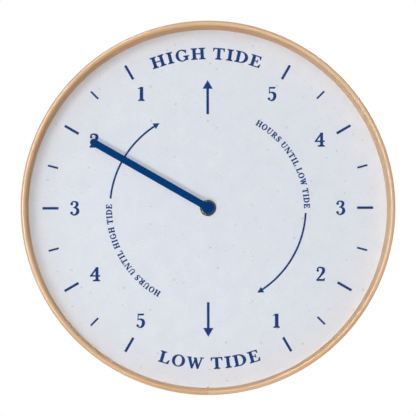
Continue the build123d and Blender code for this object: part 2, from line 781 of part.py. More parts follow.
# Coil: core across the stator's legs, bobbin on the core, winding on the bobbin
coil_left = stator_left + stator_leg_width + stator_margin
coil_right = stator_right - stator_leg_width - stator_margin
SIDE = Plane(origin=(coil_left, -core_depth, AXIS_Z + coil_z), x_dir=(0, 1, 0), z_dir=(1, 0, 0))
with BuildPart() as coil_core:
    with BuildSketch(facing(stator_front)):
        with Locations(((stator_left + stator_right) / 2, coil_z)):
            Rectangle(stator_right - stator_left, core_width)
    extrude(amount=core_thickness)
finish(coil_core, "coil_core")

barrel_radius = core_width / 2 + bobbin_wall
with BuildPart() as coil_bobbin:
    with BuildSketch(SIDE):
        Circle(barrel_radius)
    extrude(amount=coil_right - coil_left)
    for place in (0, coil_right - coil_left - coil_flange_thickness):
        with BuildSketch(SIDE.offset(place)):
            Circle(coil_flange_radius)
        extrude(amount=coil_flange_thickness)
    with BuildSketch(SIDE.offset(-overrun)):
        Rectangle(core_thickness + fixed_fit * 2, core_width + fixed_fit * 2)
    extrude(amount=coil_right - coil_left + overrun * 2, mode=Mode.SUBTRACT)
finish(coil_bobbin, "coil_bobbin")

with BuildPart() as coil_winding:
    with BuildSketch(SIDE.offset(coil_flange_thickness)):
        Circle(coil_winding_radius)
        Circle(barrel_radius + fixed_fit, mode=Mode.SUBTRACT)
    extrude(amount=coil_right - coil_left - coil_flange_thickness * 2)
finish(coil_winding, "coil_winding")

# Circuit board with the covered chip and the crystal's can
with BuildPart() as circuit_board:
    with BuildSketch(facing(board_rear, board_x, board_z)):
        Rectangle(board_width, board_height)
    extrude(amount=board_thickness)
finish(circuit_board, "circuit_board")

board_front = board_rear + board_thickness
chip_z = board_z + board_height / 4
with BuildPart() as timing_chip:
    with BuildSketch(facing(board_front, board_x, chip_z)):
        Circle(chip_radius)
    extrude(amount=chip_height, taper=45)
finish(timing_chip, "timing_chip")

crystal_z = board_z - board_height / 4
CAN = Plane(origin=(board_x, -(board_front + crystal_gap + crystal_radius),
                    AXIS_Z + crystal_z - crystal_length / 2), x_dir=(1, 0, 0), z_dir=(0, 0, 1))
with BuildPart() as quartz_crystal:
    with BuildSketch(CAN):
        Circle(crystal_radius)
    extrude(amount=crystal_length)
    chamfer(quartz_crystal.edges().sort_by(Axis.Z)[-1], crystal_radius / 2)
finish(quartz_crystal, "quartz_crystal")

# Battery, lying along the bay with its nub to the right
contact_inside = inner_half_width - contact_thickness
battery_right = contact_inside - battery_nub_length
battery_left = -contact_inside + leaf_reach
battery_length = battery_right - battery_left
END = Plane(origin=(battery_left, -battery_depth, AXIS_Z + battery_z), x_dir=(0, 1, 0), z_dir=(1, 0, 0))
with BuildPart() as battery:
    with BuildSketch(END):
        Circle(battery_radius)
    extrude(amount=battery_length)
    chamfer(battery.edges().filter_by(GeomType.CIRCLE), battery_edge_bevel)
    with BuildSketch(END.offset(battery_length)):
        Circle(battery_nub_radius)
    extrude(amount=battery_nub_length)
finish(battery, "battery")

# Contacts: a flat plate at the nub, a bowed leaf at the flat end, each with a tab into the chamber
tab_top = chamber_bottom + contact_tab_width / 2
plate_low = battery_z - contact_width / 2
with BuildPart() as positive_contact:
    with BuildSketch(facing(battery_depth - contact_width / 2)):
        with Locations((inner_half_width - contact_thickness / 2, (plate_low + tab_top) / 2)):
            Rectangle(contact_thickness, tab_top - plate_low)
    extrude(amount=contact_width)
finish(positive_contact, "positive_contact")

with BuildPart() as negative_contact:
    with BuildSketch(facing(battery_depth - contact_width / 2)):
        with Locations((-inner_half_width + contact_thickness / 2, (plate_low + tab_top) / 2)):
            Rectangle(contact_thickness, tab_top - plate_low)
        with BuildLine():
            bow_top = battery_z + leaf_height
            bow_low = battery_z - leaf_height
            inner_top = bow_top - contact_thickness * 2
            inner_low = bow_low + contact_thickness * 2
            ThreePointArc((-contact_inside, bow_top), (battery_left, battery_z), (-contact_inside, bow_low))
            Line((-contact_inside, bow_low), (-contact_inside, inner_low))
            ThreePointArc((-contact_inside, inner_low), (battery_left - contact_thickness, battery_z),
                          (-contact_inside, inner_top))
            Line((-contact_inside, inner_top), (-contact_inside, bow_top))
        make_face()
    extrude(amount=contact_width)
finish(negative_contact, "negative_contact")

# Setting knob on its arbor, with the pinion that turns the minute wheel
knob_front = movement_rear + knob_recess_depth - knob_stand
with BuildPart() as setting_knob:
    with BuildSketch(facing(knob_front - knob_thickness, *setting_place)):
        Circle(knob_radius)
        with PolarLocations(knob_radius, knob_notch_count):
            Rectangle(knob_notch_depth * 2, knob_notch_width, mode=Mode.SUBTRACT)
    extrude(amount=knob_thickness)
    with BuildSketch(facing(knob_front, *setting_place)):
        Circle(knob_arbor_radius)
    extrude(amount=minute_front - knob_front)
    with BuildSketch(facing(minute_rear - end_float, *setting_place)):
        Polygon(*tooth_corners(setting_teeth, motion_module, setting_phase), align=None)
    extrude(amount=minute_front - minute_rear + end_float)
    with BuildSketch(facing(minute_front, *setting_place)):
        Circle(pivot_radius)
    extrude(amount=case_inside + pivot_length - minute_front)
finish(setting_knob, "setting_knob")
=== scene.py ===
# %% [markdown]
# A round tide clock hangs on a wall and shows with one hand how the tide stands.
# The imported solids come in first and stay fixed. Every piece made below is in metres, in the same frame:
# the clock faces -Y, +X is to the right and +Z is up, and the wall is the plane Y = 0.
# The clock's axis and the main depths are read from the solids, so nothing has to be fitted by eye.

# %% Load the frame
import json
from math import cos, hypot, pi, radians, sin, tau

import bmesh
import bpy
from mathutils import Matrix, Vector


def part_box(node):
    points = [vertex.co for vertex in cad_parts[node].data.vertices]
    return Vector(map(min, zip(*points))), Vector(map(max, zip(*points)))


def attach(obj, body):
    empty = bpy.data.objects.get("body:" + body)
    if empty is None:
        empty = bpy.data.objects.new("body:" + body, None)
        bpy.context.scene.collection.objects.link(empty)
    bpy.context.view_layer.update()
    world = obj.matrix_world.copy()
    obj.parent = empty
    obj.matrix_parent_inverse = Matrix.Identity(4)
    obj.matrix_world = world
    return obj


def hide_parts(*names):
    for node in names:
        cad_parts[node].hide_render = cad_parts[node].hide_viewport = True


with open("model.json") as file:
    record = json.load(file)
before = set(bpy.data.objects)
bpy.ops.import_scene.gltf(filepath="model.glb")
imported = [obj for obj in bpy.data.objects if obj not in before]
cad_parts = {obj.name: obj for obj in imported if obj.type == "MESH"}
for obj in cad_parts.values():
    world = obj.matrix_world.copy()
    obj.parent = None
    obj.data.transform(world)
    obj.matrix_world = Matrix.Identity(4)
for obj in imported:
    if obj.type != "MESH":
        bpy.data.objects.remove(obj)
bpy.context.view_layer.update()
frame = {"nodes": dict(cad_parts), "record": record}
nodes = frame["nodes"]
MM = 0.001
rim_low, rim_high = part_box("rim")
AXIS = Vector((0, 0, (rim_low.z + rim_high.z) / 2))
RIM_RADIUS = (rim_high.x - rim_low.x) / 2
RIM_DEPTH = -rim_low.y
DIAL_DEPTH = -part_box("dial")[0].y
print("nodes", len(nodes), "rim radius", round(RIM_RADIUS, 4), "dial depth", round(DIAL_DEPTH, 4))

# %% [markdown]
# Most pieces are shaped in edit mode. Small helpers keep that readable: they select one piece, open it for
# editing, and pick vertices, edges or faces by where they are or which way they face. Picking by place is
# the scripted form of clicking on the right edge. Bevelling corners by almost half a width rounds an end.

# %% Helpers for modelling
ALMOST_HALF = 0.4995


def only(piece):
    """Select this piece alone and make it the active one."""
    bpy.ops.object.select_all(action="DESELECT")
    piece.select_set(True)
    bpy.context.view_layer.objects.active = piece


def open_up(piece):
    """Open the piece for editing."""
    only(piece)
    bpy.ops.object.mode_set(mode="EDIT")


def show(name, data):
    """A new piece with this data, put into the scene."""
    piece = bpy.data.objects.new(name, data)
    bpy.context.collection.objects.link(piece)
    return piece


def merge(reach):
    """Select all and merge what is closer than this."""
    bpy.ops.mesh.select_all(action="SELECT")
    bpy.ops.mesh.remove_doubles(threshold=reach)


def pick(kind, rule):
    """Select the vertices, edges or faces whose middle, and themselves, pass the rule."""
    bpy.ops.mesh.select_mode(type=kind)
    bpy.ops.mesh.select_all(action="DESELECT")
    mesh = bmesh.from_edit_mesh(bpy.context.edit_object.data)
    mesh.normal_update()
    parts = {"VERT": mesh.verts, "EDGE": mesh.edges, "FACE": mesh.faces}[kind]
    for part in parts:
        corners = [part] if kind == "VERT" else part.verts
        middle = sum((corner.co for corner in corners), Vector()) / len(corners)
        if rule(middle, part):
            part.select_set(True)
    mesh.select_flush_mode()
    bmesh.update_edit_mesh(bpy.context.edit_object.data)


def fix_place(piece):
    """Put the piece's place, turn and size into its mesh."""
    only(piece)
    bpy.ops.object.transform_apply(location=True, rotation=True, scale=True)
    return piece


def sized(x, y, z):
    """The piece that was just added, brought to this size."""
    bpy.context.object.scale = (x, y, z)
    return fix_place(bpy.context.object)


def combine(piece, other, operation):
    """Unite another piece with this one, or cut it away, and remove the other one."""
    only(piece)
    change = piece.modifiers.new("combine", "BOOLEAN")
    change.operation = operation
    change.solver = "EXACT"
    change.object = other
    bpy.ops.object.modifier_apply(modifier=change.name)
    bpy.data.objects.remove(other)


def pull(x=0, y=0, z=0):
    """Extrude what is selected and move it."""
    bpy.ops.mesh.extrude_region_move(TRANSFORM_OT_translate={"value": (x, y, z)})


def close_up(smooth=35):
    """Merge doubles, turn the faces outwards, leave edit mode and smooth all but the sharp edges."""
    bpy.ops.mesh.select_mode(type="VERT")
    merge(1e-7)
    bpy.ops.mesh.normals_make_consistent(inside=False)
    bpy.ops.object.mode_set(mode="OBJECT")
    bpy.ops.object.shade_smooth_by_angle(angle=radians(smooth))


def near(a, b, reach=0.05 * MM):
    return abs(a - b) < reach


def dress(piece, finish):
    """Give the piece this finish alone."""
    piece.data.materials.clear()
    piece.data.materials.append(finish)


def settle(piece, name, body, slot, finish, *replaced):
    """Let the large faces set the shading, give the piece its finish and let it ride on its body."""
    fix_place(piece)
    even = piece.modifiers.new("even shading", "WEIGHTED_NORMAL")
    even.keep_sharp = True
    bpy.ops.object.modifier_apply(modifier=even.name)
    piece.name = name
    dress(piece, finish)
    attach(piece, body)
    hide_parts(*replaced)
    print(name, len(piece.data.polygons), "faces on", body)
    return piece


# %% [markdown]
# Finishes are made of nodes. A colour is written as it looks on a screen and turned into the linear value
# that the shader needs. The helpers add a node with its values and wires in one line, so that each finish
# below reads as a short list: where on the piece, which pattern, which colours.

# %% Helpers for finishes


def shade(red, green, blue):
    """A screen colour, from 0 to 255, as the linear colour that a shader takes."""
    parts = [value / 255 for value in (red, green, blue)]
    linear = [p / 12.92 if p <= 0.04045 else ((p + 0.055) / 1.055) ** 2.4 for p in parts]
    return (*linear, 1)


def wire(tree, socket, value):
    """Link a socket to another node, or set it to a plain value."""
    if isinstance(value, bpy.types.NodeSocket):
        tree.links.new(value, socket)
    else:
        socket.default_value = value


def add(tree, kind, *values, **named):
    """Add a node: lower-case names are its settings, the others its sockets, plain values go in order."""
    item = tree.nodes.new("ShaderNode" + kind)
    for name, value in named.items():
        if name[0].islower():
            setattr(item, name, value)
    for socket, value in zip(item.inputs, values):
        wire(tree, socket, value)
    for name, value in named.items():
        if not name[0].islower():
            wire(tree, item.inputs[name.replace("_", " ")], value)
    return item


def calc(tree, operation, *values):
    return add(tree, "Math", *values, operation=operation).outputs[0]


def ramp(tree, factor, *stops):
    """A colour ramp through (position, colour) stops."""
    item = add(tree, "ValToRGB", factor)
    points = item.color_ramp.elements
    while len(points) < len(stops):
        points.new(0.5)
    for point, (position, colour) in zip(points, stops):
        point.position = position
        point.color = colour
    return item.outputs[0]


def blend(tree, factor, first, second, mode="MIX"):
    """Mix two colours."""
    item = tree.nodes.new("ShaderNodeMix")
    item.data_type = "RGBA"
    item.blend_type = mode
    for place, value in ((0, factor), (6, first), (7, second)):
        wire(tree, item.inputs[place], value)
    return item.outputs[2]


def new_finish(name, **sockets):
    """A new material with its shader's plain values set."""
    finish = bpy.data.materials.new(name)
    finish.use_nodes = True
    tree = finish.node_tree
    shader = tree.nodes["Principled BSDF"]
    for socket, value in sockets.items():
        shader.inputs[socket.replace("_", " ")].default_value = value
    return finish, tree, shader


def feed(tree, shader, **sockets):
    """Wire values to the shader's sockets."""
    for socket, value in sockets.items():
        wire(tree, shader.inputs[socket.replace("_", " ")], value)


def place_on(tree, *size):
    """Object coordinates, counted in steps of this size in metres."""
    coords = add(tree, "TexCoord").outputs["Object"]
    scale = tuple(1 / step for step in size)
    return add(tree, "Mapping", Vector=coords, Scale=scale).outputs[0]


def split_place(tree):
    """Object coordinates as their own X, Y and Z."""
    return add(tree, "SeparateXYZ", add(tree, "TexCoord").outputs["Object"]).outputs


def axis_place(tree):
    """The place round the clock's axis: to the right, up and straight out from it."""
    place = split_place(tree)
    up = calc(tree, "SUBTRACT", place["Z"], AXIS.z)
    squares = calc(tree, "ADD", calc(tree, "POWER", place["X"], 2), calc(tree, "POWER", up, 2))
    return place["X"], up, calc(tree, "SQRT", squares)


def noise(tree, vector, detail, scale=1):
    return add(tree, "TexNoise", Vector=vector, Scale=scale, Detail=detail, Roughness=0.55).outputs[0]


def grain(tree, size, detail):
    """Noise that is as fine as this size in each direction."""
    return noise(tree, place_on(tree, size, size, size), detail)


def bump(tree, shader, height, strength, distance):
    """Wire a height pattern to the shader's normal."""
    relief = add(tree, "Bump", Strength=strength, Distance=distance, Height=height)
    feed(tree, shader, Normal=relief.outputs[0])


def band(tree, value, low, high, start=0, end=1):
    """Turn the part of a value between low and high into start to end."""
    return add(tree, "MapRange", value, low, high, start, end).outputs[0]


# %% [markdown]
# The rim is a slim wooden hoop of pale beech under a satin lacquer. Its fibres follow the hoop, so the
# pattern needs a place along the hoop, across it and into its depth. These are worked out from the angle
# round the clock's axis, with the joint of the hoop at six o'clock. A texture on plain coordinates would
# run straight across the ring, as if it were sawn from a board. The same place along the hoop gives it a
# paler stretch on the right, which is a painted sheen, and painted shade on its inner side, except near the
# bottom. Only the nose has the shine of the lacquer.

# %% Beech finish
NOSE_START = 2.5 * MM
NOSE_FULL = 1.5 * MM
INNER_SIDE = 2 * MM
# Strength of the painted shade on the inner side of the hoop and on the spacer ring.
PAINTED_INNER_SHADE = 0.35
LACQUER = 0.75
BLACK = (0, 0, 0, 1)
WHITE = (1, 1, 1, 1)


def beech_finish():
    finish, tree, shader = new_finish("beech", Specular_IOR_Level=0.12, Coat_Roughness=0.05)
    side, up, out = axis_place(tree)
    along = calc(tree, "MULTIPLY", calc(tree, "ARCTAN2", side, up), RIM_RADIUS)
    depth = split_place(tree)["Y"]
    place = add(tree, "CombineXYZ", along, out, depth).outputs[0]

    def pattern(lengthways, crossways, detail):
        """Noise that is drawn out along the hoop."""
        scale = (lengthways, crossways, crossways)
        return noise(tree, add(tree, "Mapping", Vector=place, Scale=scale).outputs[0], detail)

    nose = band(tree, depth, NOSE_START - RIM_DEPTH, NOSE_FULL - RIM_DEPTH)
    within = calc(tree, "LESS_THAN", out, RIM_RADIUS - INNER_SIDE)
    inside = calc(tree, "MULTIPLY", within, calc(tree, "SUBTRACT", 1, nose))
    streaks = pattern(9, 420, 4)
    fibres = pattern(45, 2400, 3)
    flecks = pattern(320, 1900, 2)
    patches = pattern(5, 40, 2)
    wood = ramp(tree, streaks, (0.3, shade(202, 155, 105)), (0.5, shade(217, 174, 126)),
                (0.72, shade(230, 194, 151)))
    wood = blend(tree, band(tree, fibres, 0.35, 0.7, 0, 0.4), wood, shade(188, 138, 90))
    wood = blend(tree, band(tree, flecks, 0.66, 0.74, 0, 0.45), wood, shade(178, 128, 84))
    wood = blend(tree, band(tree, patches, 0.35, 0.65, 0, 0.3), wood, shade(224, 190, 150))
    turn = calc(tree, "DIVIDE", along, pi * RIM_RADIUS)
    # Painted shade: the inner side is darkened, fully at the sides and top and not at all at the bottom.
    height = calc(tree, "COSINE", calc(tree, "MULTIPLY", turn, pi))
    painted_inner_shade = calc(tree, "MULTIPLY", inside, band(tree, height, -1, 0, 0, PAINTED_INNER_SHADE))
    wood = blend(tree, painted_inner_shade, wood, shade(170, 122, 80))
    # Painted sheen: a paler, less red stretch on the right of the hoop stands in for the lacquer's
    # reflection there.
    pale = ramp(tree, turn, (0.08, BLACK), (0.25, WHITE), (0.55, WHITE), (0.72, BLACK))
    wood = blend(tree, band(tree, pale, 0, 1, 0, 0.5), wood, shade(216, 188, 153))
    feed(tree, shader, Base_Color=wood, Coat_Weight=band(tree, nose, 0, 1, 0, LACQUER),
         Roughness=band(tree, fibres, 0.3, 0.7, 0.36, 0.5))
    bump(tree, shader, fibres, 0.25, 0.05 * MM)
    return finish


beech = beech_finish()
print("finish", beech.name)

# %% [markdown]
# The real hoop has a half-round nose in front, a thin skirt behind it and a lip that holds the lens.
# Its section is drawn once as a chain of flat faces, by extruding edges up the skirt and inwards under the
# lip. The section becomes one face, its front corners are rounded, and the outline alone is spun round the
# axis. Drawing the section keeps every step of the rebate where the solid has it.

# %% Rim
SKIRT = 2.6 * MM
LIP_WIDTH = 4.3 * MM
LIP_DEPTH = 4 * MM
GROOVE = 1 * MM
GROOVE_LOW = 6 * MM
GROOVE_HIGH = 9.4 * MM
BACK_BEVEL = 1 * MM
HOOP_STEPS = 288


def flat_start(low_radius, high_radius, low_depth, high_depth):
    """A plane in the section through the axis, with radius as x and depth as -y."""
    middle = ((low_radius + high_radius) / 2, -(low_depth + high_depth) / 2, AXIS.z)
    bpy.ops.mesh.primitive_plane_add(size=1, location=middle)
    piece = sized(high_radius - low_radius, high_depth - low_depth, 1)
    open_up(piece)
    return piece


def spin_outline(steps=HOOP_STEPS):
    """Keep the section's outline and spin it round the clock's axis."""
    bpy.ops.mesh.select_all(action="SELECT")
    bpy.ops.mesh.delete(type="ONLY_FACE")
    bpy.ops.mesh.select_all(action="SELECT")
    bpy.ops.mesh.spin(steps=steps, angle=tau, center=AXIS, axis=(0, 1, 0))


rim_piece = flat_start(RIM_RADIUS - SKIRT + GROOVE, RIM_RADIUS, 0, GROOVE_LOW)
for start, end in ((GROOVE_LOW, GROOVE_HIGH), (GROOVE_HIGH, RIM_DEPTH - LIP_DEPTH),
                   (RIM_DEPTH - LIP_DEPTH, RIM_DEPTH)):
    pick("EDGE", lambda middle, edge: near(middle.y, -start))
    pull(y=start - end)
inner_side = RIM_RADIUS - SKIRT + GROOVE
groove_middle = -(GROOVE_LOW + GROOVE_HIGH) / 2
pick("EDGE", lambda middle, edge: near(middle.x, inner_side) and not near(middle.y, groove_middle))
pull(x=-GROOVE)
pick("EDGE", lambda middle, edge: near(middle.x, inner_side - GROOVE) and middle.y < LIP_DEPTH - RIM_DEPTH)
pull(x=SKIRT - LIP_WIDTH)
merge(1e-6)
bpy.ops.mesh.dissolve_limited(angle_limit=radians(1))
pick("VERT", lambda middle, corner: near(middle.y, -RIM_DEPTH))
bpy.ops.mesh.bevel(offset=LIP_WIDTH * ALMOST_HALF, segments=9, affect="VERTICES")
pick("VERT", lambda middle, corner: near(middle.y, 0) and near(middle.x, RIM_RADIUS))
bpy.ops.mesh.bevel(offset=BACK_BEVEL, segments=3, affect="VERTICES")
spin_outline()
close_up()
settle(rim_piece, "rim_hoop", "case", "beech_wood", beech, "rim")

# %% [markdown]
# Between lens and dial sits a thin ring of the same wood. At six o'clock it carries a small lug that keys
# the dial, and its tip shows in front. The ring is a spun section that grows a little thicker towards the
# dial, and the lug is a small block with rounded edges that is joined to it.

# %% Spacer ring and its lug
ring_low, ring_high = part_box("spacer_ring")
RING_FRONT = -ring_low.y
LUG_WIDTH = 1.6 * MM
LUG_REACH = 1 * MM
LUG_HEIGHT = 2.4 * MM
LUG_ROUND = 0.2 * MM
RING_OUTER = ring_high.x
RING_INNER = RIM_RADIUS - LIP_WIDTH
RING_FLARE = 0.7 * MM
ring_piece = flat_start(RING_INNER, RING_OUTER, DIAL_DEPTH, RING_FRONT)
pick("VERT", lambda middle, corner: near(middle.x, RING_INNER) and near(middle.y, -DIAL_DEPTH))
bpy.ops.transform.translate(value=(-RING_FLARE, 0, 0))
spin_outline()
close_up()

lug_middle = (0, -DIAL_DEPTH - LUG_HEIGHT / 2, AXIS.z - RING_INNER + RING_FLARE)
bpy.ops.mesh.primitive_cube_add(size=1, location=lug_middle)
lug = sized(LUG_WIDTH, LUG_HEIGHT, LUG_REACH * 2)
open_up(lug)
pick("EDGE", lambda middle, edge: middle.z > lug_middle[2])
bpy.ops.mesh.bevel(offset=LUG_ROUND, segments=3)
close_up()
ring_piece.select_set(True)
bpy.context.view_layer.objects.active = ring_piece
bpy.ops.object.join()
settle(ring_piece, "spacer_hoop", "case", "beech_wood", beech, "spacer_ring")

# %% [markdown]
# The dial is a pale printed board, almost white with a cool cast. Fine crossing threads give it a linen
# look, and small flecks of beige and grey are scattered over it. The flecks are random cells of a
# Voronoi pattern: only a few cells show a fleck, each with its own tint. The solid's flat disc is already
# the right shape, so it keeps its mesh and takes this finish.

# %% Dial finish
FLECKS = ((7 * MM, 0.3, 0.14, shade(202, 196, 178), shade(190, 195, 202), 0.75),
          (3.2 * MM, 0.42, 0.2, shade(210, 205, 210), shade(202, 205, 198), 0.7))
THREAD = (0.5 * MM, 6 * MM)
CLOUD = 14 * MM


def fleck_layer(tree, ground, cell, share, radius, first, second, strength):
    """Scatter soft spots of two tints over the ground colour."""
    place = place_on(tree, cell, cell * 20, cell)
    cells = add(tree, "TexVoronoi", Vector=place, Scale=1, Randomness=1)
    tint = add(tree, "SeparateColor", cells.outputs["Color"])
    edge = noise(tree, place, 2, 4)
    reach = calc(tree, "ADD", cells.outputs["Distance"], band(tree, edge, 0.3, 0.7, -0.1, 0.1))
    spot = band(tree, reach, radius, radius * 0.45, 0, strength)
    chosen = calc(tree, "LESS_THAN", tint.outputs[0], share)
    spot = calc(tree, "MULTIPLY", spot, chosen)
    colour = blend(tree, tint.outputs[1], first, second)
    return blend(tree, spot, ground, colour)


def dial_finish():
    finish, tree, shader = new_finish("speckled board", Roughness=0.75, Specular_IOR_Level=0.08)
    warp = noise(tree, place_on(tree, THREAD[0], 1, THREAD[1]), 2)
    weft = noise(tree, place_on(tree, THREAD[1], 1, THREAD[0]), 2)
    weave = calc(tree, "ADD", warp, weft)
    clouds = noise(tree, place_on(tree, CLOUD, 1, CLOUD), 4)
    ground = ramp(tree, clouds, (0.3, shade(217, 222, 231)), (0.7, shade(223, 227, 235)))
    ground = blend(tree, band(tree, weave, 0.75, 1.25, 0, 0.45), ground, shade(210, 215, 224))
    for flecks in FLECKS:
        ground = fleck_layer(tree, ground, *flecks)
    feed(tree, shader, Base_Color=ground)
    bump(tree, shader, weave, 0.12, 0.05 * MM)
    return finish


dress(nodes["dial"], dial_finish())
print("dial finish on", nodes["dial"].name)

# %% [markdown]
# The scale is printed in navy ink. Ticks, arrows and arcs are flat shapes with a trace of thickness.
# The numerals and words are bold letters with serifs, drawn here from a few kinds of stroke: straight stems
# with feet, thick and thin slants, rings and tapering brush strokes. Each letter is drawn once, in a box one
# unit high, and its strokes are united, so the print is clean geometry and needs no font file.

# %% Ink finish and stroke shapes
INK_SPREAD = 1.5 * MM
SERIF = 0.13
SMALL_SERIF = 0.08
SERIF_HEIGHT = 0.075
BRACKET = 0.07
THICK = 0.25


def ink_finish():
    finish, tree, shader = new_finish("navy ink", Roughness=0.7, Specular_IOR_Level=0.03)
    spread = noise(tree, place_on(tree, INK_SPREAD, 1, INK_SPREAD), 4)
    feed(tree, shader, Base_Color=ramp(tree, spread, (0.3, shade(20, 54, 112)), (0.7, shade(31, 68, 129))))
    bump(tree, shader, spread, 0.1, 0.02 * MM)
    return finish


def bar(left, low, right, high):
    return [(left, low), (right, low), (right, high), (left, high)]


def stem(x, width, foot, head, low=0, high=1):
    """An upright stroke with bracketed feet: each pair is the reach to the left and to the right."""
    left, right = x - width / 2, x + width / 2
    outline = []
    for side, edge, near_foot, near_head in ((1, right, foot[1], head[1]), (-1, left, foot[0], head[0])):
        lower = [(edge + side * near_foot, low), (edge + side * near_foot, low + SERIF_HEIGHT),
                 (edge, low + SERIF_HEIGHT + BRACKET)]
        upper = [(edge, high - SERIF_HEIGHT - BRACKET), (edge + side * near_head, high - SERIF_HEIGHT),
                 (edge + side * near_head, high)]
        lower = lower if near_foot else [(edge, low)]
        upper = upper if near_head else [(edge, high)]
        outline += lower + upper if side == 1 else upper[::-1] + lower[::-1]
    return outline


def slant(start, end, width):
    """A sloping stroke of this width, measured level."""
    half = width / 2
    return [(start[0] - half, start[1]), (end[0] - half, end[1]), (end[0] + half, end[1]),
            (start[0] + half, start[1])]


def arch(middle, outer, inner, start, end, steps=20):
    """A piece of a ring between two angles, with its own outer and inner half-axes."""
    turns = [radians(start + (end - start) * step / steps) for step in range(steps + 1)]
    outside = [(middle[0] + outer[0] * cos(t), middle[1] + outer[1] * sin(t)) for t in turns]
    inside = [(middle[0] + inner[0] * cos(t), middle[1] + inner[1] * sin(t)) for t in reversed(turns)]
    return outside + inside


def ring(middle, outer, inner):
    """A whole ring, as two halves that overlap a little."""
    return [arch(middle, outer, inner, -92, 92), arch(middle, outer, inner, 88, 272)]


def dot(x, y, radius, steps=16):
    turns = [tau * step / steps for step in range(steps)]
    return [(x + radius * cos(t), y + radius * sin(t)) for t in turns]


def brush(*stations, steps=6):
    """A tapering stroke through (x, y, width) stations, smoothed between them."""
    path = []
    ends = [stations[0], *stations, stations[-1]]
    for before, first, second, after in zip(ends, ends[1:], ends[2:], ends[3:]):
        for step in range(steps):
            t = step / steps
            path.append([0.5 * (2 * b + (c - a) * t + (2 * a - 5 * b + 4 * c - d) * t * t
                                + (3 * b - a - 3 * c + d) * t ** 3)
                         for a, b, c, d in zip(before, first, second, after)])
    path.append(list(stations[-1]))
    left, right = [], []
    for place, (x, y, width) in enumerate(path):
        back, ahead = path[max(place - 1, 0)], path[min(place + 1, len(path) - 1)]
        run, rise = ahead[0] - back[0], ahead[1] - back[1]
        length = hypot(run, rise)
        side = (-rise / length * width / 2, run / length * width / 2)
        left.append((x + side[0], y + side[1]))
        right.append((x - side[0], y - side[1]))
    return left + right[::-1]


ink = ink_finish()
print("finish", ink.name)

# %% [markdown]
# These are the letters and numerals that the scale needs: each is its width and its strokes.
# Widths are generous and thick strokes are about a quarter of the height, as bold book letters have them.

# %% Letters and numerals


